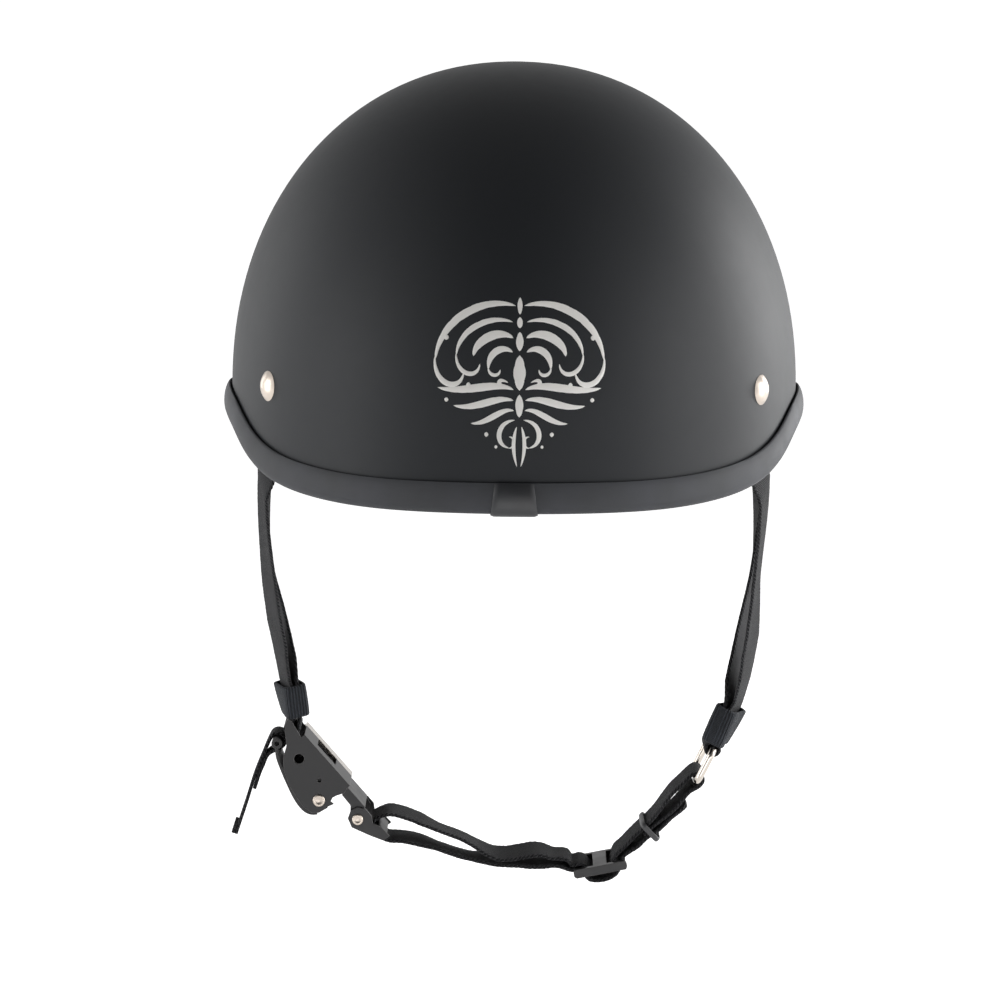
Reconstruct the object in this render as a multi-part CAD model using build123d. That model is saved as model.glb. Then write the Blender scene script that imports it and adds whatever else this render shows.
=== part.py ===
from build123d import *
from functools import lru_cache
from math import acos, atan2, cos, hypot, pi, radians, sin, sqrt
import os

# Half shell motorcycle helmet.
# Frame: +X is the wearer's right, +Y the wearer's forward, +Z up, in millimetres.
# The origin is the centre of the head opening, at the level of the rear edge.

os.makedirs("parts", exist_ok=True)

# Crown shell: a straight wall, then a dome that closes on a superellipse
shell_half_width = 114.2
shell_half_length = 138.0
shell_forward = 6.0
straight_height = 29.0
dome_height = 130.0
dome_power = 2.1
shell_wall = 3.0
overrun = 60.0
profile_steps = 8

# Edge line of the head opening, seen from the side
rim_low_z = -3.8
rim_rise = 21.8
rim_rear_shares = [(1.20, 0.0), (1.02, 0.0), (0.94, -0.02), (0.83, -0.01), (0.74, 0.03),
                   (0.62, 0.12), (0.50, 0.29), (0.40, 0.51), (0.29, 0.78), (0.15, 0.95)]
rim_front_shares = [(0.0, 1.0), (0.17, 0.94), (0.42, 0.75), (0.69, 0.62), (1.02, 0.57), (1.20, 0.57)]

# Rubber edge trim: a channel pressed over the shell's edge
trim_height = 11.8
trim_bulge = 3.3
trim_inner_leg = 2.2
trim_floor = 2.6
trim_gap = 0.15
trim_split = 1.2
trim_lip = 1.4
trim_shoulder = 3.4

# Joiner clip over the two ends of the trim
joiner_top_width = 14.6
joiner_foot_width = 18.0
joiner_wall = 0.9
joiner_gap = 0.1

# Impact liner and the pads inside it
liner_gap = 0.4
liner_thickness = 24.0
liner_above_trim = 0.4
pad_gap = 0.3
pad_thickness = 7.0
pad_edge_radius = 2.4
pad_height = 38.0
pad_above_rim = 14.0
pad_groove_width = 2.4
pad_groove_depth = 1.4
crown_pad_radius = 44.0
brow_pad_half_angle = 46.0
side_pad_half_angle = 30.0

# Rivets that hold the strap ends
rivet_turn = 57.0
rear_rivet_z = 36.0
front_rivet_z = 44.0
rivet_head_radius = 5.9
rivet_head_height = 2.4
rivet_shank_radius = 2.4
rivet_tail_radius = 3.6
rivet_tail_height = 1.0
rivet_fit = 0.05
washer_radius = 7.0
washer_thickness = 1.0
pocket_radius = 9.0
pocket_clearance = 0.8

# Webbing
strap_width = 20.0
strap_thickness = 1.8
strap_gap = 0.3
strap_end_length = 9.0
strap_end_shares = [-1.0, -0.35, 0.35, 1.0]
loop_steps = 5
loop_gap = 0.45
strap_steps = 3
strand_easing = 0.06
strand_lower_shares = [1.0, 0.52, 0.17]
strand_spread = 1.0
strand_under_rim_z = -8.0
strand_crossing_shares = [0.40, 0.70]
strand_mid_z = -50.0

# How far out each strand hangs and how far it is turned to the rear, from the edge line down
left_rear_reach = [99.2, 95.6, 94.0, 92.4]
left_rear_turns = [13.0, 23.0, 26.0, 20.0]
left_front_reach = [103.4, 102.6, 96.5, 92.4]
left_front_turns = [-14.0, 5.0, 13.0, 18.5]
right_rear_reach = [99.2, 95.4, 95.2, 93.2]
right_rear_turns = [14.0, 13.0, 23.0, 21.0]
right_front_reach = [102.8, 102.4, 96.6, 92.2]
right_front_turns = [-14.0, 5.0, 15.0, 20.5]

# Sleeves that keep the two strands of a side strap together
keeper_height = 11.0
keeper_wall = 1.2
keeper_slack = 0.3
keeper_corner = 1.0
keeper_turn = 16.0
keeper_foot_turn = 10.0
left_keeper_x = -89.9
left_keeper_z = -100.6
left_keeper_lean = 12.0
right_keeper_x = 88.0
right_keeper_z = -108.6
right_keeper_lean = -26.0

# Steel ring at the foot of the right side strap
ring_top_x = 82.4
ring_top_z = -119.0
ring_low_x = 76.0
ring_low_z = -132.0
ring_wire_radius = 1.5
ring_corner_radius = 3.0
ring_side_gap = 1.6
ring_wrap_start = -40
ring_wrap_end = 140
ring_wrap_points = 6

# Quick-release buckle: its place, and the direction in which the tongue pulls out
buckle_x = -85.4
buckle_z = -113.6
buckle_pitch = 48.7
buckle_width = 26.0
buckle_wall = 1.2
buckle_length = 40.0
base_top = -0.9
base_start = 0.9
base_end = 29.0
base_thickness = 1.2
window_start = 8.4
window_end = 19.6
window_half_width = 6.0
strap_bar_along = -3.9
strap_bar_across = 2.0
strap_bar_radius = 1.4
guide_length = 3.4
guide_depth = 2.2
guide_starts = [2.6, 22.4]
cheek_hole_along = 7.0
cheek_hole_across = 7.5
cheek_hole_radius = 2.1
small_hole_along = 19.1
small_hole_across = 7.0
small_hole_radius = 0.9
cheek_shares = [(-0.195, 0.052), (-0.215, -0.005), (-0.168, -0.012), (0.010, 0.022), (0.730, 0.022),
                (0.742, 0.080), (0.712, 0.150), (0.702, 0.195), (0.720, 0.238), (0.760, 0.230),
                (0.740, 0.295), (0.732, 0.398), (0.680, 0.460), (0.585, 0.484), (0.460, 0.472),
                (0.328, 0.450), (0.155, 0.380), (0.065, 0.308), (-0.015, 0.192), (-0.132, 0.108)]

# Release lever: it turns on its pin, and its nose stands in the tongue's window
lever_pin_along = 25.3
lever_pin_across = 12.8
lever_pin_radius = 2.2
lever_pin_head_radius = 2.8
lever_pin_head_height = 0.7
pin_fit = 0.05
part_gap = 0.6
lever_wall = 1.2
nose_start = 10.9
nose_length = 2.4
nose_half_width = 5.4
nose_bite = 0.5
nose_web_length = 3.0
eye_along = -3.5
eye_across = 10.5
eye_outer_radius = 2.2
eye_inner_radius = 1.0
tab_slot_length = 3.8
tab_slot_turn = 45
lever_plate_shares = [(-0.058, 0.285), (-0.015, 0.327), (0.110, 0.388), (0.350, 0.468),
                      (0.530, 0.508), (0.650, 0.498), (0.725, 0.430)]
lever_cheek_shares = [(0.735, 0.415), (0.755, 0.312), (0.690, 0.220), (0.475, 0.158), (0.345, 0.068),
                      (0.258, 0.068), (0.250, 0.200), (0.235, 0.330), (0.262, 0.428), (0.350, 0.460),
                      (0.530, 0.500), (0.650, 0.490)]

# Torsion spring on the lever's pin
spring_wire = 0.8
spring_turns = 5
spring_radius_gap = 0.5
spring_pitch = 1.3
spring_push_leg = 3.6

# Tongue that the chin strap's bracket hangs from
tongue_gap = 0.3
tongue_thickness = 1.4
tongue_start = 2.5
tongue_end = 40.0
tongue_tip_chamfer = 3.0
tongue_window_start = 8.9
tongue_window_end = 18.0
bracket_pin_along = 41.7
bracket_pin_across = 6.1
bracket_pin_radius = 1.9
bracket_pin_head_radius = 2.4
bracket_pin_head_height = 0.7
tongue_arm_shares = [(0.720, 0.016), (0.950, 0.016), (1.090, 0.045), (1.142, 0.110), (1.135, 0.190),
                     (1.080, 0.240), (0.990, 0.225), (0.945, 0.170), (0.890, 0.118), (0.750, 0.112)]

# Bracket that carries the end of the chin strap
bracket_shares = [(0.968, 0.222), (0.925, 0.145), (0.948, 0.070), (1.018, 0.020), (1.113, 0.022),
                  (1.175, 0.062), (1.260, 0.024), (1.385, 0.020), (1.380, 0.100), (1.248, 0.170),
                  (1.065, 0.253)]
bracket_bar_along = 52.2
bracket_bar_across = 2.1
bracket_bar_length = 5.2
bracket_bar_thickness = 1.6

# Pull tab: a short webbing looped through the lever's eye
tab_width = 12.0
tab_thickness = 1.4
tab_layer_gap = 0.5
tab_head_along = -2.9
tab_head_across = 18.7
tab_tail_along = 13.9
tab_tail_across = 47.1
tab_bow = 0.6
tab_shares = [0.0, 0.2, 0.4, 0.6, 0.8, 1.0]
tab_arc_start = 165
tab_arc_end = 378
tab_arc_steps = 6

# Slide adjuster
slider_x = 37.0
slider_z = -169.2
slider_slope = 11.5
slider_length = 22.2
slider_height = 3.6
slider_rail = 2.4
slider_side_gap = 0.6
slider_corner = 1.5
slider_bar_thickness = 1.4
slider_end_bar = 1.6
slider_inner_inset = 0.8
slider_outer_inset = 0.5
slider_middle_start = -2.6
slider_middle_end = 3.0

# Chin strap: the runs between the pieces that it passes through, as shares of the drop
strap_drop = 170.0
return_shares = [(0.345, -0.8875), (0.372, -0.860), (0.403, -0.828), (0.431, -0.804)]
long_side_shares = [(0.418, -0.783), (0.390, -0.812), (0.337, -0.865), (0.294, -0.917), (0.268, -0.951)]
upper_run_shares = [(0.143, -0.982), (0.104, -0.974), (0.080, -0.966), (0.046, -0.966), (0.010, -0.973),
                    (-0.030, -0.975), (-0.073, -0.957), (-0.124, -0.930), (-0.165, -0.915),
                    (-0.224, -0.888), (-0.266, -0.873), (-0.297, -0.869)]
lower_run_shares = [(-0.277, -0.934), (-0.224, -0.942), (-0.165, -0.961), (-0.107, -0.979),
                    (-0.071, -0.985), (-0.030, -0.9885), (0.010, -0.9895), (0.046, -0.992),
                    (0.085, -0.9935), (0.124, -0.995)]
free_side_shares = [(0.288, -0.956), (0.305, -0.945), (0.329, -0.922), (0.358, -0.901),
                    (0.385, -0.874), (0.425, -0.844)]
slider_inner_shares = [(0.315, 0.162), (0.252, 0.045), (0.195, -0.040), (0.070, -0.090),
                       (-0.070, -0.090), (-0.189, -0.035), (-0.255, 0.072), (-0.375, 0.140),
                       (-0.510, 0.148)]
slider_outer_shares = [(-0.510, 0.047), (-0.396, 0.032), (-0.320, -0.030), (-0.270, -0.145),
                       (-0.110, -0.234), (0.068, -0.239), (0.243, -0.189), (0.342, -0.081),
                       (0.385, 0.036), (0.477, 0.135)]
bracket_loop_shares = [(1.183, -0.005), (1.180, 0.075), (1.228, 0.115), (1.285, 0.112),
                       (1.360, 0.105), (1.432, 0.075)]

# Band that holds down the free end of the chin strap
band_x = 57.9
band_z = -154.6
band_pitch = 44.0
band_length = 4.0
band_wall = 1.0
band_depth = 6.6
band_corner = 2.2
band_side_gap = 0.6


rear_length = shell_half_length - shell_forward
front_length = shell_half_length + shell_forward


def dome_scale(z):
    """How wide the crown is at a height, as a share of its widest."""
    rise = max(z - straight_height, 0) / dome_height
    return (1 - rise ** dome_power) ** (1 / dome_power)


@lru_cache(maxsize=None)
def dome(inset):
    """Solid inside the crown's surface, moved in by the inset (out where it is negative)."""
    half_width = shell_half_width - inset
    half_length = shell_half_length - inset
    height = dome_height - inset
    foot = -overrun
    points = []
    for step in range(profile_steps + 1):
        angle = radians(90 * step / profile_steps)
        x = half_width * cos(angle) ** (2 / dome_power) if step < profile_steps else 0
        points.append((x, 0, straight_height + height * sin(angle) ** (2 / dome_power)))
    curve = Spline(*points, tangents=[(0, 0, 1), (-1, 0, 0)])
    sides = Polyline((0, 0, points[-1][2]), (0, 0, foot), (half_width, 0, foot), points[0])
    half_round = revolve(make_face(curve + sides), Axis.Z, 180)
    front = scale(half_round, by=(1, half_length / half_width, 1))
    rear = mirror(front, about=Plane.XZ)
    return Pos(0, shell_forward, 0) * (front + rear)


def rim_points():
    """Edge line of the head opening as side-view points, from the rear to the front."""
    rear = [(-share * rear_length, rim_low_z + rise * rim_rise) for share, rise in rim_rear_shares]
    front = [(share * front_length, rim_low_z + rise * rim_rise) for share, rise in rim_front_shares]
    return rear + front


@lru_cache(maxsize=None)
def above_rim(offset):
    """Everything above the edge line, moved up by the offset."""
    points = [(0, y, z + offset) for y, z in rim_points()]
    ceiling = straight_height + dome_height + overrun
    edge = Spline(*points)
    frame = Polyline(points[-1], (0, points[-1][1], ceiling), (0, points[0][1], ceiling), points[0])
    return extrude(make_face(edge + frame), shell_half_width + overrun, dir=(1, 0, 0), both=True)


def band(outer_inset, inner_inset, low, high=None):
    """Wall between two crown surfaces, from one height above the edge line to another."""
    wall = (dome(outer_inset) - dome(inner_inset)) & above_rim(low)
    return wall if high is None else wall - above_rim(high)


def box_between(low, high):
    """Box from its low corner to its high corner."""
    size = [top - bottom for bottom, top in zip(low, high)]
    middle = [(top + bottom) / 2 for bottom, top in zip(low, high)]
    return Pos(*middle) * Box(*size)


def save(shape, name):
    """Write one piece to its own file."""
    shape.label = name
    export_step(shape, os.path.join("parts", name + ".step"))
    print(name, "solids", len(shape.solids()), "volume", round(shape.volume))


def crown_point(side, end, z):
    """Place on the shell's outside at a rivet, and the direction straight out of it."""
    width = dome_scale(z)
    x = side * shell_half_width * width * sin(radians(rivet_turn))
    y = end * shell_half_length * width * cos(radians(rivet_turn))
    rise = max(z - straight_height, 0) / dome_height
    outward = Vector(
        x / shell_half_width ** 2 * width ** (dome_power - 2),
        y / shell_half_length ** 2 * width ** (dome_power - 2),
        rise ** (dome_power - 1) / dome_height,
    )
    return Vector(x, y + shell_forward, z), outward.normalized()


def inside_crown(side, y, depth):
    """Sideways place at a depth below the straight wall's outside, and its direction outward."""
    half_width = shell_half_width - depth
    half_length = shell_half_length - depth
    along = (y - shell_forward) / half_length
    x = side * half_width * sqrt(1 - along ** 2)
    return x, Vector(x / half_width ** 2, along / half_length, 0).normalized()


def rivet_planes():
    """Plane of each rivet on the shell's outside, its normal pointing out."""
    planes = []
    for side in (-1, 1):
        for end, z in ((-1, rear_rivet_z), (1, front_rivet_z)):
            place, outward = crown_point(side, end, z)
            planes.append(Plane(place, x_dir=Vector(0, 0, 1).cross(outward), z_dir=outward))
    return planes


# Depths below the shell's outside, at a rivet
strap_sag = hypot(strap_width / 2, strap_end_length) ** 2 / (2 * shell_half_width)
strap_face_depth = shell_wall + strap_sag + strap_gap
strap_depth = strap_face_depth + strap_thickness / 2
washer_depth = strap_face_depth + strap_thickness + strap_gap
rivet_tail_depth = washer_depth + washer_thickness
crossing_depth = (shell_wall + trim_gap + trim_inner_leg + 4 * strap_gap + strap_thickness / 2
                  + (strap_width / 2) ** 2 / (2 * shell_half_width))
pocket_depth = rivet_tail_depth + rivet_tail_height + pocket_clearance


def at_rivets(low, high, radius):
    """A round piece on each rivet's axis, between two heights above the shell's outside."""
    pieces = [plane.location * Pos(0, 0, (low + high) / 2) * Cylinder(radius, high - low)
              for plane in rivet_planes()]
    return Part() + pieces


def make_shell():
    """Hard crown with its four rivet holes."""
    shell = band(0, shell_wall, trim_floor + trim_gap)
    return shell - at_rivets(-overrun / 2, overrun / 2, rivet_shank_radius + rivet_fit)


def make_trim():
    """Rubber channel round the edge, split at the rear under its joiner."""
    inner = shell_wall + trim_gap + trim_inner_leg
    channel = band(-trim_bulge, inner, 0, trim_height - trim_shoulder)
    lip = band(-trim_lip, inner, trim_height - trim_shoulder, trim_height)
    slot = (dome(-trim_gap) - dome(shell_wall + trim_gap)) & above_rim(trim_floor)
    rear_y = rear_length + overrun
    split = box_between((-trim_split / 2, -rear_y, -overrun), (trim_split / 2, 0, overrun))
    return channel + lip - slot - split


def make_joiner():
    """Sleeve that covers the two ends of the trim."""
    inner = shell_wall + trim_gap + trim_inner_leg + joiner_gap
    sleeve = band(-trim_bulge - joiner_gap - joiner_wall, inner + joiner_wall,
                  -joiner_gap - joiner_wall, trim_height)
    hollow = (dome(-trim_bulge - joiner_gap) - dome(inner)) & above_rim(-joiner_gap)
    low_z = rim_low_z - joiner_gap - joiner_wall
    high_z = rim_low_z + trim_height
    rear_y = rear_length + overrun
    corners = [(-joiner_foot_width / 2, low_z), (joiner_foot_width / 2, low_z),
               (joiner_top_width / 2, high_z + joiner_wall), (-joiner_top_width / 2, high_z + joiner_wall)]
    wedge = extrude(Plane.XZ * make_face(Polyline(*corners, close=True)), rear_y)
    return (sleeve - hollow) & wedge


def ease_along(start, start_way, stop, stop_way, share):
    """Place and direction at a share of a smooth curve between two places."""
    reach = (stop - start).length / 3
    points = [start, start + start_way * reach, stop - stop_way * reach, stop]
    while len(points) > 2:
        points = [first + (second - first) * share for first, second in zip(points, points[1:])]
    way = (points[1] - points[0]).normalized()
    return points[0] + (points[1] - points[0]) * share, way


def ribbon(stations, width, thickness, steps=1):
    """Flat webbing through stations: each a place, the way its face looks and the way it runs."""
    places = [station[0] for station in stations]
    faces = [station[1] for station in stations]
    ways = []
    for index, station in enumerate(stations):
        before = places[max(index - 1, 0)]
        after = places[min(index + 1, len(places) - 1)]
        ways.append(station[2] or (after - before).normalized())
    sections = []
    for index in range(len(stations) - 1):
        for step in range(steps + (index == len(stations) - 2)):
            share = step / steps
            place, way = ease_along(places[index], ways[index], places[index + 1], ways[index + 1], share)
            face_way = faces[index] + (faces[index + 1] - faces[index]) * share
            plane = Plane(place, x_dir=way.cross(face_way).normalized(), z_dir=way)
            sections.append(plane * Rectangle(width, thickness))
    return loft(sections, ruled=True)


def turned(side, turn):
    """Outward face direction of a strap, turned from straight sideways towards the rear."""
    return Vector(side * cos(radians(turn)), -sin(radians(turn)), 0)


def keeper_axis(lean):
    """Downward direction of a keeper that leans from the upright."""
    return Vector(sin(radians(lean)), 0, -cos(radians(lean)))


def keeper_places(side):
    """Middle and downward direction of the keeper on one side."""
    if side < 0:
        return Vector(left_keeper_x, 0, left_keeper_z), keeper_axis(left_keeper_lean)
    return Vector(right_keeper_x, 0, right_keeper_z), keeper_axis(right_keeper_lean)


def strand_hang(side, end):
    """How far out one strand hangs and how far it is turned, from the edge line down."""
    if side < 0:
        return (left_front_reach, left_front_turns) if end > 0 else (left_rear_reach, left_rear_turns)
    return (right_front_reach, right_front_turns) if end > 0 else (right_rear_reach, right_rear_turns)


def strand_stations(side, end):
    """Stations of one strand of a side strap, from above its rivet to below the keeper."""
    reaches, turns = strand_hang(side, end)
    rivet_z = front_rivet_z if end > 0 else rear_rivet_z
    place, outward = crown_point(side, end, rivet_z)
    anchor = place - outward * strap_depth
    middle, down = keeper_places(side)
    layer = (strap_thickness / 2 + strap_gap) * (1 if end < 0 else -1)
    keeper_top = middle - down * (keeper_height / 2 + keeper_slack)
    keeper_foot = middle + down * (keeper_height / 2 + keeper_slack)
    drop = anchor.Z - keeper_top.Z

    def level(z):
        """How far forward the strand is at a height: straight, then eased into the keeper."""
        share = hypot((z - keeper_top.Z) / drop, strand_easing) - strand_easing
        return anchor.Y * share / (hypot(1, strand_easing) - strand_easing)

    under_rim = Vector(side * reaches[0], level(strand_under_rim_z), strand_under_rim_z)
    lead = (under_rim - anchor).normalized()
    lead = (lead - outward * lead.dot(outward)).normalized()
    stations = [(anchor + lead * strap_end_length * share, outward, lead) for share in strap_end_shares]
    for share in strand_crossing_shares:
        z = anchor.Z + (strand_under_rim_z - anchor.Z) * share
        x, out = inside_crown(side, level(z), crossing_depth)
        stations.append((Vector(x, level(z), z), out, None))
    stations.append((under_rim, turned(side, turns[0]), None))
    for share, reach, turn in zip(strand_lower_shares, reaches[1:], turns[1:]):
        z = keeper_top.Z + (strand_mid_z - keeper_top.Z) * share
        face_way = turned(side, turn)
        spread = layer * (1 + strand_spread * share)
        stations.append((Vector(side * reach, level(z), z) + face_way * spread, face_way, None))
    middle_turn = (keeper_turn + keeper_foot_turn) / 2
    for centre, turn in ((keeper_top, keeper_turn), (middle, middle_turn), (keeper_foot, keeper_foot_turn)):
        face_way = turned(side, turn)
        stations.append((centre + face_way * layer, face_way, down))
    return stations


def flat_ribbon(points):
    """Webbing along a smooth line through side-view points."""
    line = Spline(*points)
    stations = []
    for point in points:
        way = line % line.param_at_point(point)
        stations.append((Vector(point[0], 0, point[1]), Vector(-way.Y, 0, way.X), Vector(way.X, 0, way.Y)))
    return ribbon(stations, strap_width, strap_thickness, strap_steps)


def round_points(centre, radius, start, stop, count):
    """Points on an arc about a centre, in degrees."""
    angles = [radians(start + (stop - start) * step / (count - 1)) for step in range(count)]
    return [(centre[0] + radius * cos(angle), centre[1] + radius * sin(angle)) for angle in angles]


def tangent_angle(bar, radius, place, side):
    """Angle about the bar at which a strap from a place above it comes to lie on the circle."""
    distance = hypot(place.X - bar[0], place.Z - bar[1])
    return atan2(place.Z - bar[1], place.X - bar[0]) - side * acos(radius / distance)


def make_side_strap(side, bar, bar_radius):
    """One webbing: down from the rear rivet, round the bar, and up to the front rivet."""
    radius = bar_radius + loop_gap + strap_thickness / 2
    stations = strand_stations(side, -1)
    front = strand_stations(side, 1)
    start = tangent_angle(bar, radius, stations[-1][0], side)
    stop = tangent_angle(bar, radius, front[-1][0], -side) - side * 2 * pi
    for step in range(loop_steps + 1):
        angle = start + (stop - start) * step / loop_steps
        face_way = Vector(cos(angle), 0, sin(angle))
        along = Vector(sin(angle), 0, -cos(angle)) * side
        stations.append((Vector(bar[0], 0, bar[1]) + face_way * radius, face_way, along))
    for place, face_way, along in reversed(front):
        stations.append((place, -face_way, -along if along else None))
    strap = ribbon(stations, strap_width, strap_thickness, strap_steps)
    return strap - at_rivets(-overrun / 2, overrun / 2, rivet_shank_radius + strap_gap)


def make_keeper(side):
    """Sleeve of webbing round the two strands, wound with them as they turn."""
    middle, down = keeper_places(side)
    inside_width = strap_width + 4 * strap_gap
    inside_depth = 2 * strap_thickness + 5 * strap_gap
    shells = []
    for extra in (2 * keeper_wall, 0):
        stretch = keeper_slack if extra == 0 else 0
        ends = []
        for sign, turn in ((-1, keeper_turn), (1, keeper_foot_turn)):
            place = middle + down * (keeper_height / 2 + stretch) * sign
            across = down.cross(turned(side, turn)).normalized()
            plane = Plane(place, x_dir=across, z_dir=down)
            ends.append(plane * RectangleRounded(inside_width + extra, inside_depth + extra,
                                                 keeper_corner))
        shells.append(loft(ends, ruled=True))
    return shells[0] - shells[1]


# Buckle space: x along the pull, y across it away from the chin, z along the helmet's +Y
buckle_plane = Plane(
    (buckle_x, 0, buckle_z),
    x_dir=(cos(radians(buckle_pitch)), 0, -sin(radians(buckle_pitch))),
    z_dir=(0, 1, 0),
)
slider_plane = Plane(
    (slider_x, 0, slider_z),
    x_dir=(cos(radians(slider_slope)), 0, sin(radians(slider_slope))),
    z_dir=(0, -1, 0),
)


def to_side_view(plane, point):
    """Helmet x and z of a point given in a plane of its own."""
    place = plane.from_local_coords((point[0], point[1], 0))
    return (place.X, place.Z)


def sized(shares, size):
    """Outline points from shares of a size."""
    return [(along * size, across * size) for along, across in shares]


def slab(points, low, high):
    """Plate of an outline between two distances from the middle, on both sides."""
    face = make_face(Polyline(*points, close=True))
    half = Pos(0, 0, low) * extrude(face, high - low)
    return half + mirror(half, about=Plane.XY)


def crossbar(along, across, radius, half_width):
    """Round bar across the buckle."""
    return Pos(along, across, 0) * Cylinder(radius, 2 * half_width)


cheek_outer = buckle_width / 2
cheek_inner = cheek_outer - buckle_wall
lever_outer = cheek_inner - part_gap
lever_inner = lever_outer - lever_wall
tongue_half_width = cheek_inner - part_gap
tongue_top = base_top + base_thickness + tongue_gap
tongue_foot = tongue_top + tongue_thickness
arm_inner = tongue_half_width - buckle_wall
bracket_inner = tongue_half_width + tongue_gap
bracket_outer = bracket_inner + buckle_wall


def make_housing():
    """Stamped channel: base plate with its window, two cheeks, strap bar and guide tabs."""
    housing = slab(sized(cheek_shares, buckle_length), cheek_inner, cheek_outer)
    base_foot = base_top + base_thickness
    base = box_between((base_start, base_top, -cheek_outer), (base_end, base_foot, cheek_outer))
    window = box_between((window_start, base_top - overrun, -window_half_width),
                         (window_end, base_foot + strap_gap, window_half_width))
    lip_foot = base_foot + buckle_wall
    for sign in (-1, 1):
        low, high = sorted((sign * cheek_inner, sign * cheek_outer))
        base = base + box_between((base_start, base_top, low), (base_end, lip_foot, high))
    housing = housing + (base - window)
    housing = housing + crossbar(strap_bar_along, strap_bar_across, strap_bar_radius, cheek_outer)
    guide_across = tongue_foot + tongue_gap
    for start in guide_starts:
        for sign in (-1, 1):
            low, high = sorted((sign * (cheek_inner - guide_depth), sign * cheek_outer))
            housing = housing + box_between((start, guide_across, low),
                                            (start + guide_length, guide_across + buckle_wall, high))
    cuts = crossbar(lever_pin_along, lever_pin_across, lever_pin_radius + pin_fit, overrun)
    cuts = cuts + crossbar(cheek_hole_along, cheek_hole_across, cheek_hole_radius, overrun)
    cuts = cuts + crossbar(small_hole_along, small_hole_across, small_hole_radius, overrun)
    return housing - cuts


def make_pin(along, across, radius, head_radius, head_height, half_width):
    """Headed pin across the buckle, peened at both ends."""
    seat = half_width + pin_fit
    pin = crossbar(along, across, radius, seat + head_height / 2)
    for sign in (-1, 1):
        pin = pin + Pos(along, across, sign * (seat + head_height / 2)) * Cylinder(head_radius, head_height)
    return pin


def make_lever():
    """Release lever: curved outer plate with a rolled eye, two cheeks, web and nose."""
    plate_line = Spline(*sized(lever_plate_shares, buckle_length))
    plate = extrude(trace(plate_line, lever_wall), lever_outer, both=True)
    cheeks = slab(sized(lever_cheek_shares, buckle_length), lever_inner, lever_outer)
    web_foot = tongue_foot + tongue_gap
    web = box_between((nose_start, web_foot, -lever_outer),
                      (nose_start + nose_web_length, web_foot + lever_wall, lever_outer))
    nose = box_between((nose_start, tongue_foot - nose_bite, -nose_half_width),
                       (nose_start + nose_length, web_foot + lever_wall, nose_half_width))
    eye = crossbar(eye_along, eye_across, eye_outer_radius, lever_outer)
    lever = plate + cheeks + web + nose + eye
    lever = lever - crossbar(eye_along, eye_across, eye_inner_radius, overrun)
    lever = lever - crossbar(lever_pin_along, lever_pin_across, lever_pin_radius + pin_fit, overrun)
    slot_half = tab_width / 2 + 2 * tab_layer_gap
    reach = eye_outer_radius + tab_slot_length
    slot = box_between((0, -reach / 2, -slot_half), (reach, reach / 2, slot_half))
    slot = Pos(eye_along, eye_across, 0) * Rot(0, 0, tab_slot_turn) * slot
    return lever - (slot - crossbar(eye_along, eye_across, eye_outer_radius, overrun))


def make_spring():
    """Torsion spring wound on the lever's pin, with two straight legs."""
    radius = lever_pin_radius + spring_radius_gap + spring_wire / 2
    length = spring_pitch * spring_turns
    coil = Helix(spring_pitch, length, radius)
    section = Plane(coil @ 0, z_dir=coil % 0) * Circle(spring_wire / 2)
    wound = Pos(lever_pin_along, lever_pin_across, -length / 2) * sweep(section, path=coil)
    legs = Part()
    rest_leg = lever_pin_across - tongue_foot - tongue_gap
    for z, way, leg in ((-length / 2, 1, rest_leg), (length / 2, -1, spring_push_leg)):
        start = (lever_pin_along + radius, lever_pin_across, z)
        straight = Rot(90 * way, 0, 0) * Pos(0, 0, leg / 2) * Cylinder(spring_wire / 2, leg)
        legs = legs + Pos(*start) * straight
    return wound + legs


def make_tongue():
    """Sliding tongue: plate with the latch window, and two arms for the bracket's pin."""
    outline = [(tongue_start + tongue_tip_chamfer, -tongue_half_width), (tongue_end, -tongue_half_width),
               (tongue_end, tongue_half_width), (tongue_start + tongue_tip_chamfer, tongue_half_width),
               (tongue_start, tongue_half_width - tongue_tip_chamfer),
               (tongue_start, tongue_tip_chamfer - tongue_half_width)]
    flat = make_face(Polyline(*[(x, 0, z) for x, z in outline], close=True))
    plate = Pos(0, tongue_top, 0) * extrude(flat, tongue_thickness, dir=(0, 1, 0))
    window = box_between((tongue_window_start, tongue_top - overrun, -window_half_width),
                         (tongue_window_end, tongue_foot + overrun, window_half_width))
    arms = slab(sized(tongue_arm_shares, buckle_length), arm_inner, tongue_half_width)
    tongue = (plate - window) + arms
    return tongue - crossbar(bracket_pin_along, bracket_pin_across, bracket_pin_radius + pin_fit, overrun)


def make_bracket():
    """Strap bracket: two cheeks on the tongue's pin, joined by the bar that the strap wraps."""
    cheeks = slab(sized(bracket_shares, buckle_length), bracket_inner, bracket_outer)
    radius = bracket_bar_thickness / 2
    reach = bracket_bar_length / 2 - radius
    bar = box_between((bracket_bar_along - reach, bracket_bar_across - radius, -bracket_outer),
                      (bracket_bar_along + reach, bracket_bar_across + radius, bracket_outer))
    for sign in (-1, 1):
        bar = bar + crossbar(bracket_bar_along + sign * reach, bracket_bar_across, radius, bracket_outer)
    bracket = cheeks + bar
    return bracket - crossbar(bracket_pin_along, bracket_pin_across, bracket_pin_radius + pin_fit, overrun)


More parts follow.
